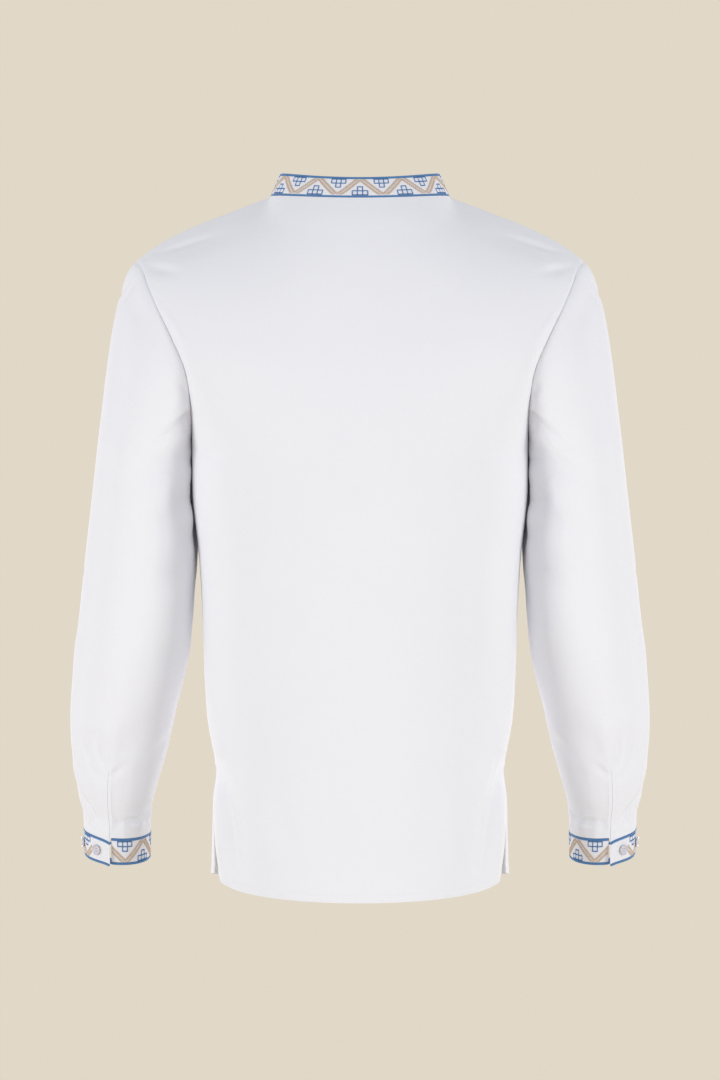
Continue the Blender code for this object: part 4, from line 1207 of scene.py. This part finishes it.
def close_ends(spots, run):
    """Adds spots close to both ends, for the rounding there."""
    first = np.interp([0.35, 0.9], run, spots)
    last = np.interp([run[-1] - 0.9, run[-1] - 0.35], run, spots)
    return np.concatenate([spots[:1], first, spots[2:-2], last, spots[-1:]])


def cuff_spots():
    """Angles along the cuff and the distances at them."""
    spots = np.linspace(*cuff_ends(), 121)
    spots = close_ends(spots, run_of(cuff_place, spots, CUFF_BAND_HEIGHT))
    return spots, run_of(cuff_place, spots, CUFF_BAND_HEIGHT)


def collar_spots():
    """Signed angles along the collar and the distances at them."""
    spots = np.linspace(-180 - LAP, 180 + LAP, 221)
    spots = close_ends(spots, run_of(collar_place, spots, COLLAR_BAND_HEIGHT))
    return spots, run_of(collar_place, spots, COLLAR_BAND_HEIGHT)


def make_bands():
    """The collar band and the two cuff bands."""
    spots, run = collar_spots()
    mesh = band_mesh("collar_cloth", collar_place, spots, run, COLLAR_BAND_HEIGHT)
    obj = add_piece("collar_cloth", mesh, "band_cotton", "embroidered_band", ("collar_band",), 50)
    cut_of(obj)
    spots, run = cuff_spots()
    for side, wearer in ((1, "left"), (-1, "right")):
        name = f"cuff_cloth_{wearer}"
        mesh = band_mesh(name, cuff_place, spots, run, CUFF_BAND_HEIGHT, side)
        obj = add_piece(name, mesh, "band_cotton", "embroidered_band", (f"cuff_{wearer}",), 50)
        cut_of(obj)


def cord_mesh(name, line, radius, side=1):
    """A piping cord along a line, with domed ends."""
    line = mirrored(np.array(line), side)
    steps = np.linalg.norm(np.diff(line, axis=0), axis=1)
    run = np.concatenate([[0], np.cumsum(steps)])
    count = max(int(run[-1] / 1.6), 8)
    places = np.linspace(0, run[-1], count + 1)
    places = np.unique(np.concatenate([places, [0.25, 0.7, run[-1] - 0.7, run[-1] - 0.25]]))
    centre = np.stack([np.interp(places, run, line[:, k]) for k in range(3)], -1)
    for _ in range(2):
        centre[1:-1] = (centre[:-2] + 2 * centre[1:-1] + centre[2:]) / 4
    along = unit(np.gradient(centre, axis=0))
    side_way = unit(np.cross(along, np.array([0.0, 0.0, 1.0])))
    up_way = np.cross(side_way, along)
    sides = 12
    turn = np.linspace(0, 2 * np.pi, sides, endpoint=False)
    end = np.minimum(np.minimum(places, run[-1] - places) / radius, 1.0)
    size = radius * np.sqrt(np.maximum(1 - (1 - end) ** 2, 0.04))
    size = size * (1 + 0.025 * np.sin(places * 2.1))
    rings = centre[:, None] + size[:, None, None] * (
        np.cos(turn)[None, :, None] * side_way[:, None] + np.sin(turn)[None, :, None] * up_way[:, None]
    )
    return lofted(name, rings, places, np.linspace(0, 2 * np.pi * radius, sides + 1))


def make_piping():
    """The blue piping: two lengths on the collar and two on each cuff."""
    sink = BAND_CLOTH / 2
    spots, _ = collar_spots()
    foot = SEAM_GAP + PIPING_RADIUS
    for name, rise in (
        ("collar_seam_piping", foot),
        ("collar_top_piping", BAND_FOOT + COLLAR_BAND_HEIGHT + foot),
    ):
        line = collar_point(spots, np.full(len(spots), rise), np.full(len(spots), sink))
        mesh = cord_mesh(f"{name}_cord", line, CORD_RADIUS)
        add_piece(f"{name}_cord", mesh, "blue_cord", "blue_piping", (name,))
    spots, _ = cuff_spots()
    below = BAND_FOOT + CUFF_BAND_HEIGHT + foot
    top = cuff_point(spots, foot, sink)
    bottom = cuff_point(spots, below, sink)
    onward = unit(bottom[0] - cuff_point(spots[:1] - 3, below, sink)[0])
    beside = onward * (PIPING_RADIUS + SEAM_GAP)
    rises = (6.0, 4.8, 3.6, 2.4, 1.4, 0.6, 0.0)
    turned = [cuff_point(spots[:1], below - rise, sink)[0] + beside for rise in rises]
    corner = [turned[-1] * 0.5 + bottom[1] * 0.5]
    bottom = np.concatenate([np.array(turned + corner), bottom[2:]])
    for side, wearer in ((1, "left"), (-1, "right")):
        for name, line in ((f"cuff_top_piping_{wearer}", top), (f"cuff_foot_piping_{wearer}", bottom)):
            mesh = cord_mesh(f"{name}_cord", line, CORD_RADIUS, side)
            add_piece(f"{name}_cord", mesh, "blue_cord", "blue_piping", (name,))


def stitch_tree():
    """Geometry Nodes: lays one raised stitch on each point, along its own direction."""
    found = bpy.data.node_groups.get("Raised stitches")
    if found:
        return found
    tree = bpy.data.node_groups.new("Raised stitches", "GeometryNodeTree")
    face = tree.interface
    face.new_socket("Geometry", in_out="INPUT", socket_type="NodeSocketGeometry")
    face.new_socket("Thread width", in_out="INPUT", socket_type="NodeSocketFloat")
    face.new_socket("Thread height", in_out="INPUT", socket_type="NodeSocketFloat")
    face.new_socket("Material", in_out="INPUT", socket_type="NodeSocketMaterial")
    face.new_socket("Geometry", in_out="OUTPUT", socket_type="NodeSocketGeometry")

    def add(kind, settings=None, sockets=None):
        node = tree.nodes.new(kind)
        for name, value in (settings or {}).items():
            setattr(node, name, value)
        for name, value in (sockets or {}).items():
            if isinstance(value, bpy.types.NodeSocket):
                tree.links.new(value, node.inputs[name])
            else:
                node.inputs[name].default_value = value
        return node

    def maths(operation, *values):
        return add("ShaderNodeMath", {"operation": operation}, dict(enumerate(values))).outputs[0]

    def stored(name, kind):
        return add("GeometryNodeInputNamedAttribute", {"data_type": kind}, {"Name": name}).outputs[0]

    start = add("NodeGroupInput")
    size = {"Size X": 1.0, "Size Y": 1.0, "Vertices X": 4, "Vertices Y": 3}
    grid = add("GeometryNodeMeshGrid", None, size)
    split = add("ShaderNodeSeparateXYZ", None, {0: add("GeometryNodeInputPosition").outputs[0]})
    x, y = split.outputs[0], split.outputs[1]
    far = maths("ABSOLUTE", maths("MULTIPLY", x, 2.0))
    ends = maths("SUBTRACT", 1.0, maths("POWER", far, 6.0))
    dome = maths("SUBTRACT", 1.0, maths("POWER", maths("ABSOLUTE", maths("MULTIPLY", y, 2.0)), 2.0))
    narrow = maths("MULTIPLY", y, maths("MULTIPLY", maths("POWER", far, 6.0), -0.6))
    lift = add(
        "ShaderNodeCombineXYZ", None, {1: narrow, 2: maths("SUBTRACT", maths("MULTIPLY", ends, dome), 0.12)}
    )
    stitch = add("GeometryNodeSetPosition", None, {"Geometry": grid.outputs[0], "Offset": lift.outputs[0]})
    turn = add(
        "FunctionNodeAxesToRotation",
        {"primary_axis": "X", "secondary_axis": "Z"},
        {0: stored("along", "FLOAT_VECTOR"), 1: stored("up", "FLOAT_VECTOR")},
    )
    size = add(
        "ShaderNodeCombineXYZ",
        None,
        {0: stored("length", "FLOAT"), 1: start.outputs["Thread width"], 2: start.outputs["Thread height"]},
    )
    laid = add(
        "GeometryNodeInstanceOnPoints",
        None,
        {
            "Points": start.outputs["Geometry"],
            "Instance": stitch.outputs[0],
            "Rotation": turn.outputs[0],
            "Scale": size.outputs[0],
        },
    )
    real = add("GeometryNodeRealizeInstances", None, {"Geometry": laid.outputs[0]})
    shaded = add(
        "GeometryNodeSetMaterial",
        None,
        {"Geometry": real.outputs[0], "Material": start.outputs["Material"]},
    )
    end = add("NodeGroupOutput")
    tree.links.new(shaded.outputs[0], end.inputs[0])
    return tree


def sew(name, centres, along, up, lengths, width, height, look, slot):
    """A piece of raised stitches, from their middles, directions and lengths in millimetres."""
    source = bpy.data.meshes.new(f"{name}_points")
    source.vertices.add(len(centres))
    source.vertices.foreach_set("co", (centres * MM).ravel())
    for label, values in (("along", along), ("up", up)):
        source.attributes.new(label, "FLOAT_VECTOR", "POINT").data.foreach_set("vector", values.ravel())
    source.attributes.new("length", "FLOAT", "POINT").data.foreach_set("value", lengths * MM)
    carrier = bpy.data.objects.new(f"{name}_points", source)
    bpy.context.scene.collection.objects.link(carrier)
    tree = stitch_tree()
    modifier = carrier.modifiers.new("Stitches", "NODES")
    modifier.node_group = tree
    values = {"Thread width": width * MM, "Thread height": height * MM, "Material": finish(look)}
    for item in tree.interface.items_tree:
        if item.in_out == "INPUT" and item.name in values:
            modifier[item.identifier] = values[item.name]
    bpy.context.view_layer.update()
    graph = bpy.context.evaluated_depsgraph_get()
    mesh = bpy.data.meshes.new_from_object(carrier.evaluated_get(graph))
    carrier.modifiers.remove(modifier)
    bpy.data.objects.remove(carrier)
    bpy.data.meshes.remove(source)
    mesh.name = name
    for layer in list(mesh.attributes):
        if layer.name in ("along", "up", "length"):
            mesh.attributes.remove(layer)
    return add_piece(name, mesh, look, slot)


def on_band(place, spots, run, u, v, depth=0.0):
    """Points of a band's face at distances along it and heights on it."""
    return place(np.interp(u, run, spots), v, np.full_like(u, depth))


def band_stitches(place, spots, run, marks):
    """Turns stitches drawn flat, from (u, v) to (u, v), into middles, directions and lengths."""
    marks = np.array(marks)
    a = on_band(place, spots, run, marks[:, 0], marks[:, 1])
    b = on_band(place, spots, run, marks[:, 2], marks[:, 3])
    u, v = (marks[:, 0] + marks[:, 2]) / 2, (marks[:, 1] + marks[:, 3]) / 2
    up = unit(on_band(place, spots, run, u, v, -0.5) - on_band(place, spots, run, u, v, 0.5))
    return (a + b) / 2, unit(b - a), up, np.linalg.norm(b - a, axis=1)


# The counted border's own sizes
THREAD_STEP = 0.56
SQUARE = 5.2
OUTLINE = 1.9
STRIPE = 3.3
STRIPE_GAP = 0.3
STRIPE_STEP = 1.68
BORDER_MARGIN = 0.7
COLLAR_PERIOD = 46.6
CUFF_PERIOD = 47.6
CUFF_VALLEY = 15.0
CUFF_BARE_END = 25.0


def zigzag_marks(first, last, height, valley, period):
    """Two slanting stripes of upright satin stitches that run between the border's edges."""
    marks = {"tan": [], "line": []}
    reach = (STRIPE + STRIPE_GAP / 2) * math.sqrt(2)
    inner = STRIPE_GAP / 2 * math.sqrt(2)
    for u in np.arange(first + 0.5, last - 0.4, THREAD_STEP):
        stepped = round((u - valley) / STRIPE_STEP) * STRIPE_STEP * 0.7 + (u - valley) * 0.3
        turn = abs(stepped / period - round(stepped / period)) * 2
        centre = height / 2 + (turn - 0.5) * period / 2
        for low, high in ((centre - reach, centre - inner), (centre + inner, centre + reach)):
            low, high = max(low, 0.4), min(high, height - 0.4)
            if high - low > 0.7:
                marks["tan"].append((u, low, u, high))
        if 0.8 < centre < height - 0.8:
            marks["line"].append((u - 0.28, centre - 0.25, u + 0.28, centre + 0.25))
    return marks


def square_marks(centre, base, upward):
    """Three outlined squares against the border's edge and one more towards its middle."""
    outline, fill = [], []
    cells = ((-1.5, 0), (-0.5, 0), (0.5, 0), (-0.5, 1))
    sides = set()
    for column, row in cells:
        sides.update((("h", column, row), ("h", column, row + 1)))
        sides.update((("v", column, row), ("v", column + 1, row)))
        for k in range(7):
            u = centre + (column + 0.18 + 0.64 * k / 6) * SQUARE
            ends = sorted((base + upward * (row + 0.14) * SQUARE, base + upward * (row + 0.86) * SQUARE))
            fill.append((u, ends[0], u, ends[1]))
    count = int(SQUARE / THREAD_STEP)
    for kind, column, row in sorted(sides):
        for k in range(count + 1):
            step = k / count
            if kind == "h":
                u = centre + (column + step) * SQUARE
                v = base + upward * row * SQUARE
                outline.append((u, v - OUTLINE / 2, u, v + OUTLINE / 2))
            else:
                u = centre + column * SQUARE
                v = base + upward * (row + step) * SQUARE
                outline.append((u - OUTLINE / 2, v, u + OUTLINE / 2, v))
    return outline, fill


def border_marks(first, last, height, valley, period):
    """A whole border between two distances along a band."""
    marks = zigzag_marks(first, last, height, valley, period)
    blue, white = [], []
    start = math.floor((first - valley) / (period / 2)) - 1
    for k in range(start, start + int((last - first) / (period / 2)) + 4):
        centre = valley + k * period / 2
        top = k % 2 == 0
        base = height - BORDER_MARGIN if top else BORDER_MARGIN
        outline, fill = square_marks(centre, base, -1 if top else 1)
        for found, kept in ((outline, blue), (fill, white)):
            kept.extend(m for m in found if min(m[0], m[2]) > first + 0.3 and max(m[0], m[2]) < last - 0.3)
    return {"tan": marks["tan"], "line": marks["line"], "blue": blue, "white": white}


THREADS = {
    "tan": ("tan_thread", 0.6, 0.34),
    "line": ("dark_tan_thread", 0.42, 0.3),
    "blue": ("blue_thread", 0.62, 0.42),
    "white": ("white_thread", 0.62, 0.3),
}


def make_embroidery():
    """The counted-thread borders of the collar and the cuffs."""
    spots, run = collar_spots()
    middle = float(np.interp(0.0, spots, run))
    valley = middle + COLLAR_PERIOD / 2
    marks = border_marks(1.0, run[-1] - 1.0, COLLAR_BAND_HEIGHT, valley, COLLAR_PERIOD)
    sew_border("collar", collar_place, spots, run, marks, 1)
    spots, run = cuff_spots()
    marks = border_marks(0.6, run[-1] - CUFF_BARE_END, CUFF_BAND_HEIGHT, CUFF_VALLEY, CUFF_PERIOD)
    for side, wearer in ((1, "left"), (-1, "right")):
        sew_border(f"cuff_{wearer}", cuff_place, spots, run, marks, side)


def sew_border(name, place, spots, run, marks, side):
    """Sews one border, a piece for each thread."""
    for kind, (look, width, height) in THREADS.items():
        if not marks[kind]:
            continue
        stitches = band_stitches(place, spots, run, marks[kind])
        sew_side(f"{name}_{kind}_stitches", side, stitches, (width, height), look, "embroidered_band")


def make_buttons():
    """Four-hole buttons with their thread: two on each cuff, three on the placket and one on the collar."""
    spots = []
    for side, wearer in ((1, "left"), (-1, "right")):
        for number, past in enumerate(CUFF_BUTTON_TURNS, start=1):
            angle = np.array([VENT_ANGLE + past])
            drop = BAND_FOOT + CUFF_BAND_HEIGHT * 0.5
            centre = cuff_point(angle, drop)[0]
            along = cuff_point(angle + 3, drop)[0] - cuff_point(angle - 3, drop)[0]
            down = cuff_point(angle, drop + 3)[0] - cuff_point(angle, drop - 3)[0]
            face = unit(np.cross(along, down))
            centre = mirrored(centre + face * 0.25, side)
            spots.append((f"cuff_button_{wearer}_{number}", centre, mirrored(face, side)))
    for number, level in enumerate(PLACKET_BUTTON_LEVELS, start=1):
        at = np.array([level])
        face = FRONT.normal(np.zeros(1), at)[0]
        spots.append((f"placket_button_{number}", front_at(np.zeros(1), at, -0.5)[0], face))
    lean = math.radians(COLLAR_LEAN - COLLAR_LEAN_SWING)
    face = np.array([0, -math.cos(lean), math.sin(lean)])
    centre = collar_point(np.array([180.0]), BAND_FOOT + COLLAR_BAND_HEIGHT * 0.5)[0]
    spots.append(("collar_button", centre + face * 0.1, face))
    body = button_mesh()
    for name, centre, face in spots:
        mesh = body.copy()
        turn = Vector(face).to_track_quat("Z", "Y").to_matrix().to_4x4()
        turn.translation = Vector(centre + unit(face) * SEAM_GAP) * MM
        mesh.transform(turn)
        mesh.name = f"{name}_disc"
        add_piece(f"{name}_disc", mesh, "pearl_plastic", "pearl_button", (name,), 35)
        sew_button(name, centre + unit(face) * SEAM_GAP, face)
    bpy.data.meshes.remove(body)


def button_mesh():
    """One button, lying on the ground: a rimmed disc with four holes cut through it."""
    section = [(radius * BUTTON_RADIUS, height * BUTTON_HEIGHT) for radius, height in BUTTON_SECTION]
    steps = 40
    turn = np.linspace(0, 2 * np.pi, steps, endpoint=False)
    points = [np.array([[0, 0, section[0][1]]])]
    for radius, height in section[1:-1]:
        points.append(np.stack([np.cos(turn) * radius, np.sin(turn) * radius, np.full(steps, height)], -1))
    points.append(np.zeros((1, 3)))
    points = np.concatenate(points)
    rings = len(section) - 2
    j = np.arange(steps)
    after = (j + 1) % steps
    caps = [np.stack([np.zeros(steps, int), 1 + j, 1 + after], 1)]
    foot = 1 + (rings - 1) * steps
    caps.append(np.stack([np.full(steps, len(points) - 1), foot + after, foot + j], 1))
    walls = []
    for k in range(rings - 1):
        first, second = 1 + k * steps, 1 + (k + 1) * steps
        walls.append(np.stack([first + j, second + j, second + after, first + after], 1))
    disc = bpy.data.objects.new("disc", mesh_from("disc", points, caps + walls))
    holes = []
    faces = []
    sides = 12
    turn = np.linspace(0, 2 * np.pi, sides, endpoint=False)
    for x, y in ((1, 1), (-1, 1), (-1, -1), (1, -1)):
        at = len(holes) * 2 * sides
        middle = np.array([x, y]) * BUTTON_HOLE_OFFSET
        ring = np.stack([np.cos(turn), np.sin(turn)], -1) * BUTTON_HOLE_RADIUS + middle
        foot, head = np.full(sides, -1.0), np.full(sides, BUTTON_HEIGHT + 1)
        holes.append(np.concatenate([np.c_[ring, foot], np.c_[ring, head]]))
        k = np.arange(sides)
        after = (k + 1) % sides
        faces.append(np.stack([at + k, at + after, at + sides + after, at + sides + k], 1))
        faces.append((at + sides + k)[None])
        faces.append((at + k[::-1])[None])
    drill = bpy.data.objects.new("drill", mesh_from("drill", np.concatenate(holes), faces))
    for obj in (disc, drill):
        bpy.context.scene.collection.objects.link(obj)
    cut = disc.modifiers.new("Holes", "BOOLEAN")
    cut.operation = "DIFFERENCE"
    cut.solver = "EXACT"
    cut.object = drill
    bpy.context.view_layer.update()
    graph = bpy.context.evaluated_depsgraph_get()
    mesh = bpy.data.meshes.new_from_object(disc.evaluated_get(graph))
    for obj in (disc, drill):
        data = obj.data
        bpy.data.objects.remove(obj)
        bpy.data.meshes.remove(data)
    return mesh


def sew_button(name, centre, face):
    """The thread that crosses between a button's holes."""
    quat = Vector(face).to_track_quat("Z", "Y")
    right, ahead = np.array(quat @ Vector((1, 0, 0))), np.array(quat @ Vector((0, 1, 0)))
    centres, along = [], []
    for over in (-BUTTON_HOLE_OFFSET, BUTTON_HOLE_OFFSET):
        for beside in (-0.22, 0.22):
            centres.append(centre + right * (over + beside) + np.array(unit(face)) * BUTTON_HEIGHT * 0.68)
            along.append(ahead)
    count = len(centres)
    sew(
        f"{name}_thread",
        np.array(centres),
        np.array(along),
        np.repeat(unit(np.array(face, float))[None], count, 0),
        np.full(count, 2.9),
        0.5,
        0.45,
        "white_thread",
        "pearl_button",
    )


def sew_row(points, normals, length=2.3, gap=0.7):
    """Stitches of one length along a line on the cloth."""
    steps = np.linalg.norm(np.diff(points, axis=0), axis=1)
    run = np.concatenate([[0], np.cumsum(steps)])
    starts = np.arange(0.6, run[-1] - length, length + gap)

    def at(places, values):
        return np.stack([np.interp(places, run, values[:, k]) for k in range(3)], -1)

    a, b = at(starts, points), at(starts + length, points)
    return (a + b) / 2, unit(b - a), unit(at(starts + length / 2, normals)), np.full(len(starts), length)


def sew_side(name, side, stitches, size, look, slot):
    """Sews stitches that are placed for the wearer's left, on either side."""
    centres, along, up = (mirrored(part, side) for part in stitches[:3])
    sew(name, centres, along, up, stitches[3], *size, look, slot)


def joined(rows):
    """Puts several rows of stitches into one."""
    return [np.concatenate([row[k] for row in rows]) for k in range(4)]


def make_seam_stitching():
    """Rows of small white stitches: hem, side slits, placket and wrist slits."""
    rows = []
    for panel in (BACK, FRONT):
        s = np.linspace(-0.985, 0.985, 260)
        level = np.full_like(s, HEM_LEVEL - 0.185)
        points = panel.point(s, level)
        if panel is BACK:
            points = rounded_corner(s, level, points)
        rows.append(sew_row(points, panel.normal(s, level)))
        for side in (-1, 1):
            level = np.linspace(SLIT_LEVEL - 0.15, HEM_LEVEL - 0.2, 60)
            s = np.full_like(level, side * 0.972)
            points = panel.point(s, level)
            if panel is BACK:
                points = rounded_corner(s, level, points)
            rows.append(sew_row(points, panel.normal(s, level)))
    for x in (-STRIP_STITCH_X, STRIP_STITCH_X):
        level = np.linspace(0.12, PLACKET_LEVEL - 0.1, 90)
        across = np.full_like(level, x)
        rows.append(sew_row(front_at(across, level, -0.2), FRONT.normal(share_at(across, level), level)))
    for low in (PLACKET_LEVEL - 0.1, PLACKET_LEVEL - 0.75):
        across = np.linspace(-STRIP_STITCH_X, STRIP_STITCH_X, 20)
        level = np.full_like(across, low)
        rows.append(sew_row(front_at(across, level, -0.45), FRONT.normal(share_at(across, level), level)))
    sew_side("body_seam_stitches", 1, joined(rows), SMALL_THREAD, "white_thread", "white_cotton")
    rows = []
    for offset in (-SLIT_STITCH_ANGLE, SLIT_STITCH_ANGLE):
        place = np.linspace(vent_top() - 0.02, SLEEVE_LAST - 0.12, 60)
        angle = np.full_like(place, VENT_ANGLE + offset)
        rows.append(sew_row(sleeve_at(angle, place, 0.0), sleeve_normal(wrap(angle), place)))
    stitches = joined(rows)
    for side, wearer in ((1, "left"), (-1, "right")):
        sew_side(f"slit_stitches_{wearer}", side, stitches, SMALL_THREAD, "white_thread", "white_cotton")


def soft_light(name, place, target, size, power):
    """A large soft lamp that faces a point."""
    data = bpy.data.lights.new(name, "AREA")
    data.shape = "RECTANGLE"
    data.size, data.size_y = size
    data.energy = power
    lamp = bpy.data.objects.new(name, data)
    bpy.context.scene.collection.objects.link(lamp)
    lamp.location = place
    lamp.rotation_mode = "QUATERNION"
    lamp.rotation_quaternion = (Vector(target) - Vector(place)).to_track_quat("-Z", "Y")


def make_world(look):
    """A flat studio backdrop colour behind, and soft white light from all round."""
    world = bpy.data.worlds.new("studio")
    bpy.context.scene.world = world
    world.use_nodes = True
    nodes, links = world.node_tree.nodes, world.node_tree.links
    nodes.clear()
    seen, light = nodes.new("ShaderNodeBackground"), nodes.new("ShaderNodeBackground")
    seen.inputs["Color"].default_value = (*look.backdrop_colour, 1.0)
    light.inputs["Color"].default_value = (0.96, 0.97, 1.0, 1.0)
    light.inputs["Strength"].default_value = look.room_light
    path, mix = nodes.new("ShaderNodeLightPath"), nodes.new("ShaderNodeMixShader")
    out = nodes.new("ShaderNodeOutputWorld")
    links.new(path.outputs["Is Camera Ray"], mix.inputs[0])
    links.new(light.outputs[0], mix.inputs[1])
    links.new(seen.outputs[0], mix.inputs[2])
    links.new(mix.outputs[0], out.inputs["Surface"])


def make_floor(look):
    """A pale round floor below the view."""
    sides = 96
    turn = np.linspace(0, 2 * np.pi, sides, endpoint=False)
    ring = np.stack([np.cos(turn), np.sin(turn)], -1) * FLOOR_RADIUS
    top, foot = np.full(sides, FLOOR_TOP), np.full(sides, FLOOR_FOOT)
    points = np.concatenate([np.c_[ring, top], np.c_[ring, foot]])
    k = np.arange(sides)
    after = (k + 1) % sides
    faces = [k[None], (sides + k[::-1])[None], np.stack([k, sides + k, sides + after, after], 1)]
    obj = bpy.data.objects.new("floor", mesh_from("floor", points, faces))
    bpy.context.scene.collection.objects.link(obj)
    shader = Shader("floor_paint")
    place = shader.node("ShaderNodeTexCoord").outputs["Object"]
    clouds = shader.noise(place, (1, 1, 1), 6.0)
    pale = tuple(c * 0.96 for c in look.floor_colour)
    shader.surface_set(Base_Color=shader.mix(clouds, pale, look.floor_colour), Roughness=0.8)
    obj.data.materials.append(shader.material)


class ShirtLook(bpy.types.PropertyGroup):
    """The colours of the shirt and its setting."""

    def shade(name, text, value):
        return bpy.props.FloatVectorProperty(
            name=name, description=text, size=3, subtype="COLOR", min=0.0, max=1.0, default=value
        )

    cloth_colour: shade("Cloth", "White of the shirt cloth", (0.93, 0.93, 0.96))
    cloth_shade: shade("Cloth shade", "Darker threads of the white cloth", (0.885, 0.885, 0.92))
    band_colour: shade("Band", "White of the embroidered bands", (0.885, 0.88, 0.915))
    piping_colour: shade("Piping", "Blue of the piping", (0.1, 0.28, 0.56))
    # Piping shade: painted shade between the cord's ribs, and the darker strands of the blue thread.
    piping_groove_shade_and_strand_tone: shade("Piping shade", "Darker blue between its ribs", (0.05, 0.15, 0.36))
    blue_thread: shade("Blue thread", "Blue of the square outlines", (0.13, 0.33, 0.66))
    tan_thread: shade("Tan thread", "Light brown of the zigzag", (0.75, 0.61, 0.48))
    tan_shade: shade("Tan shade", "Darker strands of the zigzag", (0.6, 0.45, 0.33))
    white_thread: shade("White thread", "White inside the squares and in the seams", (0.93, 0.95, 1.0))
    button_colour: shade("Button", "Pearl of the buttons", (0.74, 0.73, 0.78))
    button_shade: shade("Button shade", "Darker clouds in the pearl", (0.6, 0.59, 0.64))
    backdrop_colour: shade("Backdrop", "Colour seen behind the shirt", (0.753, 0.687, 0.578))
    floor_colour: shade("Floor", "Colour of the floor", (0.76, 0.7, 0.6))
    room_light: bpy.props.FloatProperty(
        name="Room light",
        description="Strength of the light from all round",
        default=0.59,
        min=0.0,
        max=4.0,
    )
    del shade


class ShirtSizes(bpy.types.PropertyGroup):
    """Sizes that a user may change."""

    camera_distance: bpy.props.FloatProperty(
        name="Camera distance",
        description="Distance from the shirt's middle to the camera",
        default=3.05,
        min=1.0,
        unit="LENGTH",
    )
    camera_height: bpy.props.FloatProperty(
        name="Camera height", description="Height of the camera", default=-0.367, unit="LENGTH"
    )


class SHIRT_OT_body(bpy.types.Operator):
    """Make the back, the front and the placket."""

    bl_idname = "shirt.body"
    bl_label = "Body Cloth"

    def execute(self, context):
        make_back()
        make_front()
        make_placket()
        return {"FINISHED"}


class SHIRT_OT_sleeves(bpy.types.Operator):
    """Make the sleeves and the bindings of their wrist slits."""

    bl_idname = "shirt.sleeves"
    bl_label = "Sleeves"

    def execute(self, context):
        make_sleeves()
        make_vent_bindings()
        return {"FINISHED"}


class SHIRT_OT_bands(bpy.types.Operator):
    """Make the collar band and the cuffs."""

    bl_idname = "shirt.bands"
    bl_label = "Collar and Cuffs"

    def execute(self, context):
        make_bands()
        return {"FINISHED"}


class SHIRT_OT_piping(bpy.types.Operator):
    """Make the blue piping."""

    bl_idname = "shirt.piping"
    bl_label = "Piping"

    def execute(self, context):
        make_piping()
        return {"FINISHED"}


class SHIRT_OT_embroidery(bpy.types.Operator):
    """Sew the borders of the collar and the cuffs."""

    bl_idname = "shirt.embroidery"
    bl_label = "Embroidery"

    def execute(self, context):
        make_embroidery()
        return {"FINISHED"}


class SHIRT_OT_buttons(bpy.types.Operator):
    """Make the buttons and their thread."""

    bl_idname = "shirt.buttons"
    bl_label = "Buttons"

    def execute(self, context):
        make_buttons()
        return {"FINISHED"}


class SHIRT_OT_stitching(bpy.types.Operator):
    """Sew the seam rows."""

    bl_idname = "shirt.stitching"
    bl_label = "Seam Stitching"

    def execute(self, context):
        make_seam_stitching()
        return {"FINISHED"}


class SHIRT_OT_stage(bpy.types.Operator):
    """Set up the camera, the light and the floor."""

    bl_idname = "shirt.stage"
    bl_label = "Stage"

    def execute(self, context):
        look, sizes = context.scene.shirt_look, context.scene.shirt_sizes
        for name in ("Cube", "Camera", "Light"):
            if name in bpy.data.objects:
                bpy.data.objects.remove(bpy.data.objects[name])
        make_world(look)
        make_floor(look)
        for name, x, y, power in LAMPS:
            soft_light(name, (x, y, LAMP_HEIGHT), LAMP_TARGET, LAMP_SIZE, power)
        data = bpy.data.cameras.new("camera")
        data.lens = 95
        data.sensor_width = 36
        camera = bpy.data.objects.new("camera", data)
        context.scene.collection.objects.link(camera)
        camera.location = (0.0, sizes.camera_distance, sizes.camera_height)
        camera.rotation_euler = (math.radians(90), 0.0, math.radians(180))
        context.scene.camera = camera
        context.scene.view_settings.view_transform = "Standard"
        return {"FINISHED"}


class SHIRT_PT_panel(bpy.types.Panel):
    """Lists the shirt's colours, sizes and steps."""

    bl_label = "Shirt"
    bl_idname = "SHIRT_PT_panel"
    bl_space_type = "VIEW_3D"
    bl_region_type = "UI"
    bl_category = "Shirt"

    def draw(self, context):
        layout = self.layout
        for group in (context.scene.shirt_look, context.scene.shirt_sizes):
            for name in group.__annotations__:
                layout.prop(group, name)
        for operator in STEPS:
            layout.operator(operator.bl_idname)


STEPS = (
    SHIRT_OT_stage,
    SHIRT_OT_body,
    SHIRT_OT_sleeves,
    SHIRT_OT_bands,
    SHIRT_OT_piping,
    SHIRT_OT_embroidery,
    SHIRT_OT_buttons,
    SHIRT_OT_stitching,
)
CLASSES = (ShirtLook, ShirtSizes, *STEPS, SHIRT_PT_panel)


def register():
    """Adds the classes and the scene's settings."""
    for cls in CLASSES:
        bpy.utils.register_class(cls)
    bpy.types.Scene.shirt_look = bpy.props.PointerProperty(type=ShirtLook)
    bpy.types.Scene.shirt_sizes = bpy.props.PointerProperty(type=ShirtSizes)


def unregister():
    """Takes them away again."""
    del bpy.types.Scene.shirt_sizes
    del bpy.types.Scene.shirt_look
    for cls in reversed(CLASSES):
        bpy.utils.unregister_class(cls)


def main():
    """Makes every piece in order."""
    register()
    for operator in (
        bpy.ops.shirt.stage,
        bpy.ops.shirt.body,
        bpy.ops.shirt.sleeves,
        bpy.ops.shirt.bands,
        bpy.ops.shirt.piping,
        bpy.ops.shirt.embroidery,
        bpy.ops.shirt.buttons,
        bpy.ops.shirt.stitching,
    ):
        operator()


if __name__ == "__main__":
    main()
